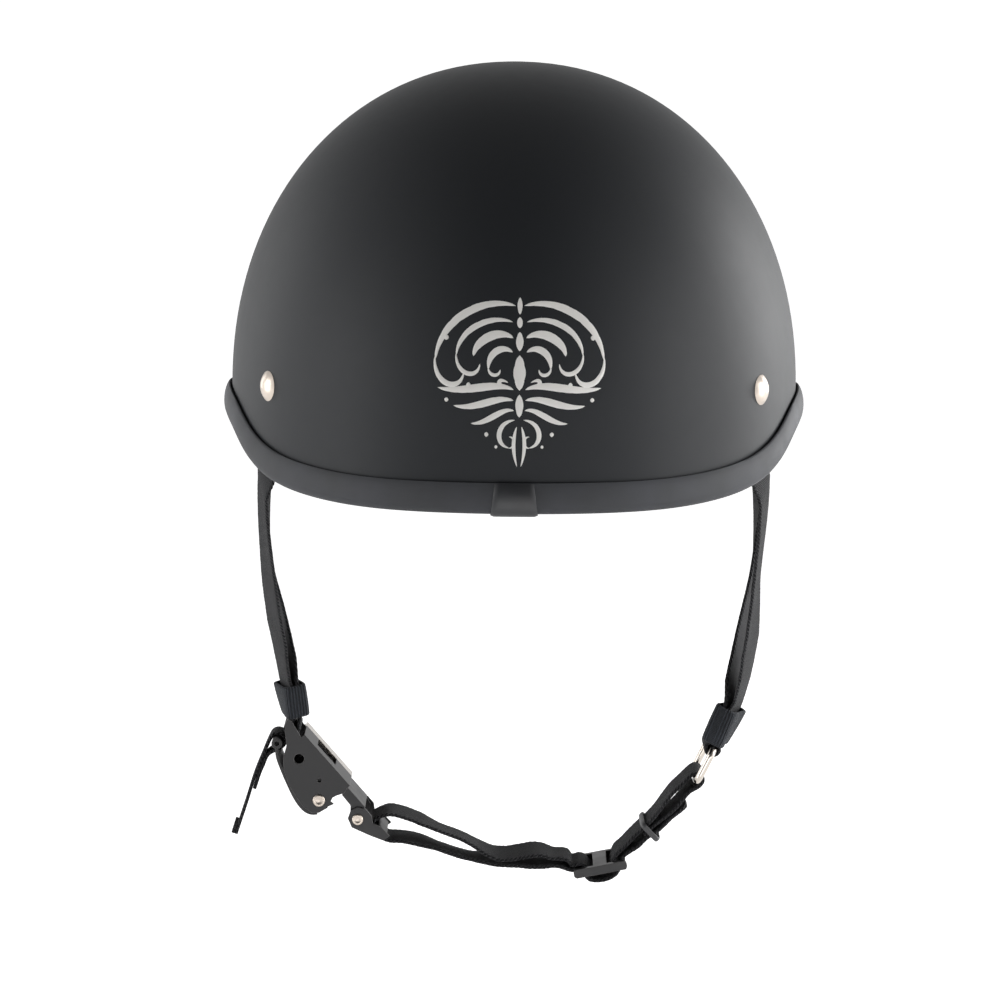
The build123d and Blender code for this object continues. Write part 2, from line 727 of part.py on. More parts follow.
def make_tab():
    """Pull tab: two layers side by side, with a loop through the lever's eye."""
    head = Vector(tab_head_along, tab_head_across)
    tail = Vector(tab_tail_along, tab_tail_across)
    along = (tail - head).normalized()
    side = Vector(-along.Y, along.X)
    middles = [head + (tail - head) * share + side * (tab_bow * sin(pi * share)) for share in tab_shares]
    offset = side * (tab_thickness + tab_layer_gap) / 2
    radius = eye_outer_radius + strap_gap + tab_thickness / 2
    stations = [(middle + offset, side, None) for middle in reversed(middles)]
    for step in range(tab_arc_steps + 1):
        angle = radians(tab_arc_start + (tab_arc_end - tab_arc_start) * step / tab_arc_steps)
        face_way = Vector(cos(angle), sin(angle))
        stations.append((Vector(eye_along, eye_across) + face_way * radius, face_way, None))
    stations = stations + [(middle - offset, -side, None) for middle in middles]
    return ribbon(stations, tab_width, tab_thickness, strap_steps)


def chin_path():
    """Middle line of the chin strap, seen from behind, from its sewn end to its free end."""
    ring_low = (ring_low_x, ring_low_z)
    radius = ring_wire_radius + strap_gap + strap_thickness / 2
    ring_loop = round_points(ring_low, radius, ring_wrap_start, ring_wrap_end, ring_wrap_points)
    inner = [to_side_view(slider_plane, p) for p in sized(slider_inner_shares, slider_length)]
    outer = [to_side_view(slider_plane, p) for p in sized(slider_outer_shares, slider_length)]
    bracket = [to_side_view(buckle_plane, p) for p in sized(bracket_loop_shares, buckle_length)]
    path = sized(return_shares, strap_drop) + ring_loop + sized(long_side_shares, strap_drop)
    path = path + inner + sized(upper_run_shares, strap_drop) + bracket
    return path + sized(lower_run_shares, strap_drop) + outer + sized(free_side_shares, strap_drop)


def make_ring():
    """Rectangular steel ring with round corners, bent from wire."""
    middle = Vector((ring_top_x + ring_low_x) / 2, 0, (ring_top_z + ring_low_z) / 2)
    rise = Vector(ring_top_x - ring_low_x, 0, ring_top_z - ring_low_z)
    plane = Plane(middle, x_dir=(0, 1, 0), z_dir=Vector(0, 1, 0).cross(rise.normalized()))
    half_length = strap_width / 2 + ring_side_gap + ring_wire_radius
    outline = plane * RectangleRounded(2 * half_length, rise.length, ring_corner_radius)
    wire = outline.face().outer_wire()
    section = Plane(wire @ 0, z_dir=wire % 0) * Circle(ring_wire_radius)
    return sweep(section, path=wire)


def make_slider():
    """Slide adjuster: two side rails, two low end bars and a raised middle bar."""
    half = slider_length / 2
    inner = strap_width / 2 + slider_side_gap
    outer = inner + slider_rail
    top = slider_height / 2
    rail = RectangleRounded(slider_length, slider_height, slider_corner)
    rails = Pos(0, 0, inner) * extrude(rail, slider_rail)
    slider = rails + mirror(rails, about=Plane.XY)
    end_top = slider_bar_thickness - top
    for low in (slider_inner_inset - half, half - slider_outer_inset - slider_end_bar):
        slider = slider + box_between((low, -top, -outer), (low + slider_end_bar, end_top, outer))
    middle = box_between((slider_middle_start, top - slider_bar_thickness, -outer),
                         (slider_middle_end, top, outer))
    return slider_plane.location * (slider + middle)


def make_band():
    """Flat elastic band round the free end."""
    down = Vector(-cos(radians(band_pitch)), 0, -sin(radians(band_pitch)))
    plane = Plane((band_x, 0, band_z), x_dir=(0, 1, 0), z_dir=down)
    width = strap_width + 2 * band_side_gap
    solids = [extrude(plane * RectangleRounded(width + extra, band_depth + extra, band_corner),
                      band_length / 2, both=True) for extra in (2 * band_wall, 0)]
    return solids[0] - solids[1]


def make_rivets():
    """Domed rivet heads outside the shell, with their shanks and set tails."""
    sphere_radius = (rivet_head_radius ** 2 + rivet_head_height ** 2) / (2 * rivet_head_height)
    cap = Pos(0, 0, rivet_head_height - sphere_radius) * Sphere(sphere_radius)
    cap = cap & (Pos(0, 0, sphere_radius) * Box(4 * sphere_radius, 4 * sphere_radius, 2 * sphere_radius))
    foot = -rivet_tail_depth - rivet_tail_height
    shank = Pos(0, 0, foot / 2) * Cylinder(rivet_shank_radius, -foot)
    tail = Pos(0, 0, foot + rivet_tail_height / 2) * Cylinder(rivet_tail_radius, rivet_tail_height)
    rivet = cap + shank + tail
    return Compound([plane.location * rivet.solid() for plane in rivet_planes()])


def make_washers():
    """Washers that clamp the strap ends against the shell."""
    washer = Cylinder(washer_radius, washer_thickness) - Cylinder(rivet_shank_radius + rivet_fit, overrun)
    seat = Pos(0, 0, -washer_depth - washer_thickness / 2)
    return Compound([plane.location * (seat * washer).solid() for plane in rivet_planes()])


def make_liner():
    """Impact liner with a channel for each strap and a pocket for each rivet."""
    outer = shell_wall + liner_gap
    low = trim_height + liner_above_trim
    liner = band(outer, outer + liner_thickness, low)
    channel_width = strap_width + 4 * pocket_clearance
    channel_depth = strap_thickness + 3 * pocket_clearance
    for side in (-1, 1):
        for end in (-1, 1):
            stations = strand_stations(side, end)[:len(strap_end_shares) + len(strand_crossing_shares)]
            liner = liner - ribbon(stations, channel_width, channel_depth)
    return liner - at_rivets(-pocket_depth, 0, pocket_radius)


def sector(middle, half_angle):
    """Upright wedge about the head's middle, in degrees from straight ahead."""
    reach = 2 * front_length
    left = radians(middle - half_angle)
    right = radians(middle + half_angle)
    corners = [(0, 0), (reach * sin(left), reach * cos(left)),
               (2 * reach * sin((left + right) / 2), 2 * reach * cos((left + right) / 2)),
               (reach * sin(right), reach * cos(right))]
    return extrude(make_face(Polyline(*corners, close=True)), 2 * overrun, both=True)


pad_outer = shell_wall + liner_gap + liner_thickness + pad_gap
pad_inner = pad_outer + pad_thickness


def make_pad(middle, half_angle):
    """Cushion of the head band, with a sewn channel along its middle."""
    pad = band(pad_outer, pad_inner, pad_above_rim, pad_above_rim + pad_height)
    pad = pad & sector(middle, half_angle)
    inner_face = pad.faces().sort_by(lambda face: hypot(face.center().X, face.center().Y))[0]
    pad = fillet(inner_face.edges(), pad_edge_radius)
    groove_low = pad_above_rim + (pad_height - pad_groove_width) / 2
    groove = band(pad_inner - pad_groove_depth, pad_inner + overrun / 4, groove_low,
                  groove_low + pad_groove_width)
    return pad - groove


def make_crown_pad():
    """Round cushion at the top of the head."""
    column = Pos(0, 0, straight_height + dome_height / 2) * Cylinder(crown_pad_radius, dome_height * 2)
    pad = (dome(pad_outer) - dome(pad_inner)) & column
    pad = pad & box_between((-overrun, -overrun, straight_height), (overrun, overrun, 4 * overrun))
    return pad


def place_in_buckle(shape):
    """Move a piece from the buckle's space to the helmet."""
    return buckle_plane.location * shape


save(make_shell(), "outer_shell")
save(make_trim(), "edge_trim")
save(make_joiner(), "trim_joiner")
save(make_liner(), "impact_liner")
save(make_crown_pad(), "crown_pad")
save(make_pad(0, brow_pad_half_angle), "brow_pad")
save(make_pad(180, brow_pad_half_angle), "nape_pad")
save(make_pad(-90, side_pad_half_angle), "left_side_pad")
save(make_pad(90, side_pad_half_angle), "right_side_pad")
save(make_rivets(), "strap_rivets")
save(make_washers(), "rivet_washers")

bar_place = to_side_view(buckle_plane, (strap_bar_along, strap_bar_across))
save(make_side_strap(-1, bar_place, strap_bar_radius), "left_side_strap")
save(make_side_strap(1, (ring_top_x, ring_top_z), ring_wire_radius), "right_side_strap")
save(make_keeper(-1), "left_strap_keeper")
save(make_keeper(1), "right_strap_keeper")

save(place_in_buckle(make_housing()), "buckle_housing")
save(place_in_buckle(make_pin(lever_pin_along, lever_pin_across, lever_pin_radius, lever_pin_head_radius,
                              lever_pin_head_height, cheek_outer)), "lever_pin")
save(place_in_buckle(make_lever()), "release_lever")
save(place_in_buckle(make_spring()), "lever_spring")
save(place_in_buckle(make_tongue()), "buckle_tongue")
save(place_in_buckle(make_pin(bracket_pin_along, bracket_pin_across, bracket_pin_radius,
                              bracket_pin_head_radius, bracket_pin_head_height, bracket_outer)),
     "bracket_pin")
save(place_in_buckle(make_bracket()), "strap_bracket")
save(place_in_buckle(make_tab()), "pull_tab")

save(flat_ribbon(chin_path()), "chin_strap")
save(make_ring(), "strap_ring")
save(make_slider(), "strap_slider")
save(make_band(), "free_end_band")
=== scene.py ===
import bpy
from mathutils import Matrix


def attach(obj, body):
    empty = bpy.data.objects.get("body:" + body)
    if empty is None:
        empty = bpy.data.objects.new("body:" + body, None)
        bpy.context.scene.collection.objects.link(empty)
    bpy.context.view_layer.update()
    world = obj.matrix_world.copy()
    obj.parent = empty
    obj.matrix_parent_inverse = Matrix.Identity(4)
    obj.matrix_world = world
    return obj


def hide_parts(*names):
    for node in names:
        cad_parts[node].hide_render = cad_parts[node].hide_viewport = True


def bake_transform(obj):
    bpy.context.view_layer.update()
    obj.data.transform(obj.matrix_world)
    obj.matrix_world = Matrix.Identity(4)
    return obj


bl_info = {
    "name": "Half shell helmet",
    "version": (1, 0, 0),
    "blender": (4, 5, 0),
    "location": "3D View > Sidebar > Helmet",
    "description": "Dresses the helmet's solids with paint, rubber, webbing, cushions and buckle finishes",
    "category": "Object",
}

from math import atan2, cos, hypot, pi, radians, sin

import bmesh
import bpy
import numpy as np
from mathutils import Matrix, Vector

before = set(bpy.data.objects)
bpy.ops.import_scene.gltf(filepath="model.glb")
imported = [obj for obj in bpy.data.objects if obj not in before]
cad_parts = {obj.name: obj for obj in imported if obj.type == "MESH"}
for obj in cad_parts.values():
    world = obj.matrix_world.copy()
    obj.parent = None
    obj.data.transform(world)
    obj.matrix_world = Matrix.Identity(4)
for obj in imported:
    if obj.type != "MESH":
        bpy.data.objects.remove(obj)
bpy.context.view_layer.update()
MM = 0.001


# ---------------------------------------------------------------- sizes and colours

def length_setting(name, default, text):
    """A size in millimetres that the panel shows."""
    return bpy.props.FloatProperty(name=name, default=default, description=text, min=0.0)


def hex_setting(name, default, text):
    """A colour written as sRGB hex."""
    return bpy.props.StringProperty(name=name, default=default, description=text)


class HelmetSizes(bpy.types.PropertyGroup):
    """Sizes of the dressed pieces, in millimetres."""
    half_width: length_setting("Half width", 114.2, "Half of the shell's width")
    half_length: length_setting("Half length", 138.0, "Half of the shell's length")
    forward: length_setting("Forward", 6.0, "How far the shell's middle lies ahead of the opening's")
    straight: length_setting("Straight wall", 29.0, "Height at which the dome starts")
    dome: length_setting("Dome", 130.0, "Height of the dome above the straight wall")
    wall: length_setting("Wall", 3.0, "Thickness of the shell")
    strap_width: length_setting("Strap width", 20.0, "Width of the webbing")
    strap_thickness: length_setting("Strap thickness", 1.8, "Thickness of the solids that webbing stands for")
    webbing_thickness: length_setting("Webbing thickness", 1.4, "Thickness of the woven webbing itself")
    ornament: length_setting("Ornament scale", 1.0, "Size of the scrollwork as a share of its drawing")


class HelmetColours(bpy.types.PropertyGroup):
    """Colours of the finishes, as sRGB hex."""
    paint: hex_setting("Paint", "#1b1d20", "Matte black shell paint")
    rubber: hex_setting("Trim", "#444548", "Rubber edge trim")
    joiner: hex_setting("Joiner", "#1f2023", "Joiner clip")
    webbing: hex_setting("Webbing", "#1d1d1f", "Woven straps")
    keeper: hex_setting("Keepers", "#26282c", "Sleeves and pull tab")
    black_steel: hex_setting("Coated steel", "#121113", "Black coated buckle steel")
    nickel: hex_setting("Nickel", "#b5aba1", "Rivets and pins")
    chrome: hex_setting("Chrome", "#b8b1a9", "Ring and the bright part of the base plate")
    line_paint: hex_setting("Line paint", "#e6e4e0", "Painted scrollwork")
    fabric: hex_setting("Pad fabric", "#1d1e21", "Cushion fabric")


# ---------------------------------------------------------------- materials

# Finishes that several pieces share, filled in by the operators
MATERIALS = {}


def linear(text):
    """sRGB hex to a linear colour with alpha: ((c + 0.055) / 1.055) ** 2.4 above the toe."""
    channels = [int(text[i:i + 2], 16) / 255 for i in (1, 3, 5)]
    return tuple(c / 12.92 if c <= 0.04045 else ((c + 0.055) / 1.055) ** 2.4 for c in channels) + (1.0,)


def shade(text, factor):
    """A hex colour made lighter or darker by a factor."""
    channels = [round(int(text[i:i + 2], 16) * factor) for i in (1, 3, 5)]
    return "#" + "".join("%02x" % max(0, min(255, c)) for c in channels)


def add(tree, kind, inputs=None, **settings):
    """Adds one node with its settings. An input takes a link from a socket, or else a value."""
    node = tree.nodes.new("ShaderNode" + kind)
    for key, value in settings.items():
        setattr(node, key, value)
    for key, source in (inputs or {}).items():
        if isinstance(source, bpy.types.NodeSocket):
            tree.links.new(source, node.inputs[key])
        else:
            node.inputs[key].default_value = source
    return node


def combine(tree, operation, *terms):
    """One maths operation on sockets and numbers, given back as its result."""
    return add(tree, "Math", dict(enumerate(terms)), operation=operation).outputs[0]


def ranged(tree, value, source, target, **settings):
    """Takes a value from one range to another, held at both ends: in a straight line if nothing is set."""
    ends = dict(zip(("From Min", "From Max", "To Min", "To Max"), source + target))
    return add(tree, "MapRange", {"Value": value, **ends}, **settings).outputs["Result"]


def noise(tree, coords, per_metre, detail):
    """Soft noise with so many features per metre."""
    return add(tree, "TexNoise", {"Vector": coords, "Scale": per_metre, "Detail": detail}).outputs["Fac"]


def blotches(tree, coords, per_metre, low, high):
    """Soft noise spread between two values."""
    return ranged(tree, noise(tree, coords, per_metre, 3.0), (0.3, 0.7), (low, high))


def bumped(tree, height, strength, depth_mm, normal=None):
    """Normal of a surface raised by a height, on top of another normal where one is given."""
    inputs = {"Height": height, "Strength": strength, "Distance": depth_mm * MM}
    if normal is not None:
        inputs["Normal"] = normal
    return add(tree, "Bump", inputs).outputs["Normal"]


def softened(tree, radius_mm, samples):
    """Normal of a surface whose edges are rounded by a radius."""
    return add(tree, "Bevel", {"Radius": radius_mm * MM}, samples=samples).outputs["Normal"]


def two_tone(tree, factor, dark, light):
    """Mixes two colours by a factor; each of them is sRGB hex or a socket."""
    dark, light = [linear(c) if isinstance(c, str) else c for c in (dark, light)]
    inputs = {"Factor": factor, "A": dark, "B": light}
    return add(tree, "Mix", inputs, data_type="RGBA").outputs["Result"]


def new_material(name):
    """An empty node material, its tree and the object's own coordinates."""
    material = bpy.data.materials.new(name)
    material.use_nodes = True
    tree = material.node_tree
    tree.nodes.clear()
    return material, tree, add(tree, "TexCoord").outputs["Object"]


def finish_material(material, tree, inputs):
    """Closes a material with its main shader and output, and gives it back."""
    shader = add(tree, "BsdfPrincipled", inputs)
    add(tree, "OutputMaterial", {"Surface": shader.outputs["BSDF"]})
    return material


# Grey of the painted highlights on the sharp edges of black steel
EDGE_HIGHLIGHT_GREY = "#6a6868"


def painted_edge_highlights(tree, base, radius_mm):
    """Painted highlights: lightens a colour where the surface bends sharply, as if its edges caught the
    light.
    The softened normal leaves the true one there, and the painted highlight grows as their dot product falls."""
    true = add(tree, "NewGeometry").outputs["Normal"]
    match = add(tree, "VectorMath", {0: softened(tree, radius_mm, 8), 1: true}, operation="DOT_PRODUCT")
    highlight = ranged(tree, match.outputs["Value"], (0.99, 0.80), (0.0, 1.0))
    return two_tone(tree, highlight, base, EDGE_HIGHLIGHT_GREY)


def plain_finish(name, colour, roughness, specular, grain_mm, grain_depth, metallic=0.0, tone=0.08,
                 bevel_mm=0.0, highlit_edges=False):
    """A moulded, painted or plated surface: slight tone changes, a fine grain and softened edges, and painted
    highlights on its sharp edges where asked.
    """
    material, tree, coords = new_material(name)
    cloud = blotches(tree, coords, 45.0, 0.0, 1.0)
    base = two_tone(tree, cloud, shade(colour, 1 - tone), shade(colour, 1 + tone))
    # Painted highlights: sharp edges are lightened as if they caught the light
    if highlit_edges:
        base = painted_edge_highlights(tree, base, bevel_mm)
    edge = softened(tree, bevel_mm, 4) if bevel_mm else None
    grain = noise(tree, coords, 1 / (grain_mm * MM), 2.0)
    inputs = {"Base Color": base, "Metallic": metallic,
              "Roughness": blotches(tree, coords, 160.0, roughness - tone / 2, roughness + tone / 2),
              "Normal": bumped(tree, grain, 0.5, grain_depth, edge)}
    if not metallic:
        inputs["Specular IOR Level"] = specular
    return finish_material(material, tree, inputs)


def shell_paint(colours):
    """Matte black paint, sprayed on a moulded ABS shell: a flat finish with a fine orange peel."""
    return plain_finish("matte_black_sprayed_paint", colours.paint, 0.56, 0.22, 1.4, 0.008, tone=0.015)


def trim_rubber(colours):
    """EPDM rubber, extruded: satin, lighter than the paint, with a faint grain."""
    return plain_finish("extruded_rubber", colours.rubber, 0.58, 0.15, 0.8, 0.02, tone=0.05)


def webbing_finish(name, colour, thread_mm, ribs=False):
    """Polyester webbing, woven: twill diagonals, or ribs straight across, read from the strap's own UV
    in millimetres. Real threads are 0.5 mm apart, and they are drawn wider here so that they show."""
    material, tree, coords = new_material(name)
    uv = add(tree, "UVMap", uv_map="UVMap").outputs["UV"]

    def threads(degrees, per_thread, distortion, detail_scale):
        """Bands of one thread system, turned by an angle."""
        turn = add(tree, "Mapping", {"Vector": uv, "Rotation": (0, 0, radians(degrees)),
                                     "Scale": (per_thread / thread_mm,) * 3})
        wave = add(tree, "TexWave", {"Vector": turn.outputs["Vector"], "Scale": 0.5, "Detail": 1.0,
                                     "Distortion": distortion, "Detail Scale": detail_scale},
                   wave_type="BANDS", bands_direction="X")
        return wave.outputs["Fac"]

    warp, weft = threads(0 if ribs else 58, 1.0, 0.9, 2.0), threads(90 if ribs else -32, 1.4, 0.6, 1.0)
    height = combine(tree, "MULTIPLY_ADD", warp, weft, warp)
    depth = combine(tree, "ADD", height, noise(tree, coords, 1400.0, 3.0))
    tone = combine(tree, "ADD", ranged(tree, height, (0.1, 1.3), (0.0, 0.75)),
                   blotches(tree, coords, 60.0, 0.0, 0.35))
    return finish_material(material, tree, {
        "Base Color": two_tone(tree, tone, shade(colour, 0.5), shade(colour, 1.75)),
        "Normal": bumped(tree, depth, 0.9, 0.4),
        "Roughness": 0.82, "Specular IOR Level": 0.22, "Sheen Weight": 0.08, "Sheen Roughness": 0.4})


def foam_finish():
    """Expanded polystyrene, steam moulded from black beads: a matte skin with the beads' outlines."""
    material, tree, coords = new_material("moulded_polystyrene_foam")
    beads = add(tree, "TexVoronoi", {"Vector": coords, "Scale": 1 / (4.0 * MM)}, feature="DISTANCE_TO_EDGE")
    rim = ranged(tree, beads.outputs["Distance"], (0.0, 0.25), (0.0, 1.0))
    return finish_material(material, tree, {
        "Base Color": two_tone(tree, rim, "#141517", "#26272a"), "Normal": bumped(tree, rim, 0.5, 0.25),
        "Roughness": 0.85, "Specular IOR Level": 0.25})


def pad_fabric(colours):
    """Brushed polyester knit, laminated to soft foam: fine loops and a dull nap."""
    material, tree, coords = new_material("brushed_knit_fabric")
    loops = add(tree, "TexVoronoi", {"Vector": coords, "Scale": 1 / (1.1 * MM)}).outputs["Distance"]
    depth = combine(tree, "ADD", loops, noise(tree, coords, 900.0, 3.0))
    return finish_material(material, tree, {
        "Base Color": two_tone(tree, loops, shade(colours.fabric, 1.5), shade(colours.fabric, 0.7)),
        "Normal": bumped(tree, depth, 0.6, 0.25),
        "Roughness": 0.92, "Specular IOR Level": 0.2, "Sheen Weight": 0.35, "Sheen Roughness": 0.5})


# The strip of bright plating, in mm: how far it reaches across the buckle, and the Y where it starts
PLATED_DEPTH, PLATED_START = 0.45, 5.5


def housing_finish(colours):
    """Steel, stamped: coated satin black, with a strip of the base plate left in bright plating on the
    chin side, towards the face, where the strap rubs. Two planes bound the strip."""
    material, tree, coords = new_material("stamped_steel_black_and_plated")
    across = Vector((-sin(PITCH), 0, -cos(PITCH)))
    place = np.array(BUCKLE) * MM
    dot = add(tree, "VectorMath", {0: coords, 1: across}, operation="DOT_PRODUCT").outputs["Value"]
    low = combine(tree, "LESS_THAN", dot, float(np.dot(place, across) + PLATED_DEPTH * MM))
    forward = add(tree, "SeparateXYZ", {0: coords}).outputs["Y"]
    plated = combine(tree, "MULTIPLY", low, combine(tree, "GREATER_THAN", forward, PLATED_START * MM))
    cloud = blotches(tree, coords, 60.0, 0.0, 1.0)
    black = two_tone(tree, cloud, shade(colours.black_steel, 0.85), shade(colours.black_steel, 1.15))
    # The black's sharp edges get painted highlights
    return finish_material(material, tree, {
        "Base Color": two_tone(tree, plated, painted_edge_highlights(tree, black, 0.4), colours.chrome),
        "Metallic": plated, "Roughness": ranged(tree, plated, (0.0, 1.0), (0.42, 0.2)),
        "Normal": bumped(tree, noise(tree, coords, 1800.0, 2.0), 0.35, 0.03, softened(tree, 0.35, 4)),
        "Specular IOR Level": 0.4})


# ---------------------------------------------------------------- mesh work

MERGE_METRES, SLIVER_METRES = 2e-6, 1e-7


def solid_from(name, parts, material, angle):
    """One mesh object from grids of points in mm. Each part is (points, wrap rows, wrap columns, uv or
    None); doubles are merged and the faces turned outwards. UV is in millimetres along and across."""
    verts, faces, uvs = [], [], []
    start = 0
    for points, wrap_rows, wrap_cols, uv in parts:
        rows, cols = points.shape[:2]
        face_rows, face_cols = rows - (not wrap_rows), cols - (not wrap_cols)
        i, j = np.meshgrid(np.arange(face_rows), np.arange(face_cols), indexing="ij")
        i2, j2 = (i + 1) % rows, (j + 1) % cols
        quads = np.stack([i * cols + j, i2 * cols + j, i2 * cols + j2, i * cols + j2], -1).reshape(-1, 4)
        verts.append(points.reshape(-1, 3) * MM)
        faces.append(quads + start)
        start += rows * cols
        if uv is None:
            uv = table(np.arange(face_rows + 1.0), np.arange(face_cols + 1.0))
        corners = np.stack([uv[:-1, :-1], uv[1:, :-1], uv[1:, 1:], uv[:-1, 1:]], 2)
        uvs.append(corners[:face_rows, :face_cols].reshape(-1, 2))
    mesh = bpy.data.meshes.new(name)
    mesh.from_pydata(np.concatenate(verts).tolist(), [], np.concatenate(faces).tolist())
    layer = mesh.uv_layers.new(name="UVMap")
    layer.data.foreach_set("uv", np.concatenate(uvs).ravel())
    form = bmesh.new()
    form.from_mesh(mesh)
    bmesh.ops.remove_doubles(form, verts=form.verts, dist=MERGE_METRES)
    bmesh.ops.dissolve_degenerate(form, dist=SLIVER_METRES, edges=form.edges)
    bmesh.ops.recalc_face_normals(form, faces=form.faces)
    form.to_mesh(mesh)
    form.free()
    mesh.materials.append(material)
    piece = bpy.data.objects.new(name, mesh)
    bpy.context.scene.collection.objects.link(piece)
    mesh.shade_smooth()
    mesh.set_sharp_from_angle(angle=radians(angle))
    return piece


def place_piece(piece, body, slot, *nodes):
    """Declares what a finished piece rides on and the solids that it stands for; the slot for its finish is
    not used.
    """
    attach(piece, body)
    if nodes:
        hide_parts(*nodes)
    return piece


def unit(rows):
    """A vector, or each row of vectors, divided by its length."""
    rows = np.asarray(rows, float)
    return rows / np.linalg.norm(rows, axis=-1, keepdims=True)


def lengths(points):
    """Length along a line of points at each of them, from zero."""
    return np.concatenate([[0], np.cumsum(np.linalg.norm(np.diff(points, axis=0), axis=1))])


def table(rows, columns):
    """Pairs of a row value and a column value, as a grid."""
    return np.stack(np.meshgrid(rows, columns, indexing="ij"), -1)


def circle(count):
    """Even angles round a full circle, without the last one."""
    return np.linspace(0, 2 * pi, count, endpoint=False)


def squared(values, power):
    """Sines or cosines raised to a power with their signs kept, which squares a circle up."""
    return np.sign(values) * np.abs(values) ** power


def bezier(a, b, c, d, t):
    """Cubic Bezier of four points, read at the parameters t."""
    return a * (1 - t) ** 3 + 3 * b * t * (1 - t) ** 2 + 3 * c * t ** 2 * (1 - t) + d * t ** 3


def end_cap(ring, *shares):
    """Closes the end of a tube: its last ring, smaller rings by shares, and its middle."""
    middle = ring.mean(0)
    rings = [ring] + [middle + (ring - middle) * share for share in shares + (0.0,)]
    return np.stack(rings), False, True, None


def smooth_line(points, count):
    """Natural cubic spline through points, by length: the second derivatives solve the usual
    three-diagonal system, and the samples are even along the chord."""
    points = np.asarray(points, float)
    knots = lengths(points)
    return cubic(knots, points, np.linspace(0, knots[-1], count))


def cubic(knots, values, where):
    """Natural cubic spline through values at knots, read at the places where."""
    knots, values = np.asarray(knots, float), np.asarray(values, float)
    flat = values.ndim == 1
    if flat:
        values = values[:, None]
    n, h = len(knots), np.diff(knots)
    system, right = np.eye(n), np.zeros_like(values)
    k = np.arange(1, n - 1)
    system[k, k - 1], system[k, k], system[k, k + 1] = h[:-1], 2 * (h[:-1] + h[1:]), h[1:]
    slope = np.diff(values, axis=0) / h[:, None]
    right[1:-1] = 6 * np.diff(slope, axis=0)
    second = np.linalg.solve(system, right)
    i = np.clip(np.searchsorted(knots, where) - 1, 0, n - 2)
    a, b = (knots[i + 1] - where)[:, None], (where - knots[i])[:, None]
    gap = h[i][:, None]
    out = (second[i] * a ** 3 + second[i + 1] * b ** 3) / (6 * gap)
    out = out + (values[i] / gap - second[i] * gap / 6) * a
    out = out + (values[i + 1] / gap - second[i + 1] * gap / 6) * b
    return out[:, 0] if flat else out


def strap_profile(width, thickness):
    """Cross-section of webbing: a flat loop whose two edges are half rounds. Gives (across, out)."""
    edge = np.linspace(-90, 90, 6) * pi / 180
    reach = width / 2 - thickness * 0.5
    right = np.stack([reach + np.cos(edge) * thickness * 0.5, np.sin(edge) * thickness / 2], 1)
    flats = np.linspace(1, -1, 7)[1:-1, None] * reach
    top = np.hstack([flats, np.full((len(flats), 1), thickness / 2)])
    return np.vstack([right, top, -right, -top])


SCALLOP, SCALLOP_PERIOD = 0.24, 1.9


def strap_grid(places, faces, ways, width, thickness, wobble, start=0.0, tip=0.0):
    """Webbing as a closed tube of flat section with end caps, and its UV in millimetres: point = place +
    across x side + out x height, where across is way x face. Its edges wander by the wobble, a sum of
    three sines of the length, and the weft's turns scallop them by a sine. A tip narrows the last length
    by a quarter round."""
    profile = strap_profile(width, thickness)
    along = start + lengths(places)
    across = unit(np.cross(ways, faces))
    out = np.cross(across, ways)[:, None]
    across = across[:, None]
    grid = places[:, None] + across * profile[None, :, :1] + out * profile[None, :, 1:2]
    wave = wobble * (np.sin(along * 0.9) + 0.7 * np.sin(along * 2.3 + 1) + 0.5 * np.sin(along * 0.37 + 2))
    wave = wave + SCALLOP * np.sin(along * 2 * pi / SCALLOP_PERIOD)
    side = profile[:, 0] / (width / 2)
    grid = grid + across * (wave[:, None] * side[None] ** 7)[..., None]
    if tip:
        left = np.clip((along[-1] - along) / tip, 0, 1)
        narrow = 0.45 * (1 - np.sqrt(1 - (1 - left) ** 2))
        reach = ((grid - places[:, None]) * across).sum(2)
        grid = grid - across * (reach * narrow[:, None])[..., None]
    uv = table(along, lengths(np.vstack([profile, profile[:1]])))
    return [(grid, False, True, uv), end_cap(grid[0], 0.5), end_cap(grid[-1], 0.5)]


# ---------------------------------------------------------------- the crown's form

RIM_REAR = [(-1.20, 0.0), (-1.02, 0.0), (-0.94, -0.02), (-0.83, -0.01), (-0.74, 0.03), (-0.62, 0.12),
            (-0.50, 0.29), (-0.40, 0.51), (-0.29, 0.78), (-0.15, 0.95)]
RIM_FRONT = [(0.0, 1.0), (0.17, 0.94), (0.42, 0.75), (0.69, 0.62), (1.02, 0.57), (1.20, 0.57)]
RIM_LOW, RIM_RISE, DOME_POWER = -3.8, 21.8, 2.1


def sizes():
    """The settings for the sizes."""
    return bpy.context.scene.helmet_sizes


def colours():
    """The settings for the colours."""
    return bpy.context.scene.helmet_colours


def rim_z(y):
    """Height of the edge line at places along the head, from a cubic spline through its points."""
    s = sizes()
    rear, front = s.half_length - s.forward, s.half_length + s.forward
    points = [(a * rear, RIM_LOW + b * RIM_RISE) for a, b in RIM_REAR]
    points += [(a * front, RIM_LOW + b * RIM_RISE) for a, b in RIM_FRONT]
    points = np.array(points)
    y = np.asarray(y, float)
    return cubic(points[:, 0], points[:, 1], y.ravel()).reshape(y.shape)


def dome_share(rise):
    """Share of its full size that a dome keeps at a rise from 0 to 1: (1 - rise ** p) ** (1 / p)."""
    return (1 - rise ** DOME_POWER) ** (1 / DOME_POWER)


def wall_point(turn, inset, z):
    """Point on a crown surface: an ellipse whose size falls by the dome's share above the straight wall.
    Turn runs from straight ahead towards the wearer's right."""
    s = sizes()
    share = dome_share(np.clip((z - s.straight) / (s.dome - inset), 0, 1))
    x = (s.half_width - inset) * np.sin(turn) * share
    y = s.forward + (s.half_length - inset) * np.cos(turn) * share
    return np.stack([x, y, z + 0 * x], -1)


def rim_at(turn, inset):
    """Height of the edge line under a place on a straight crown wall."""
    s = sizes()
    return rim_z(s.forward + (s.half_length - inset) * np.cos(turn))


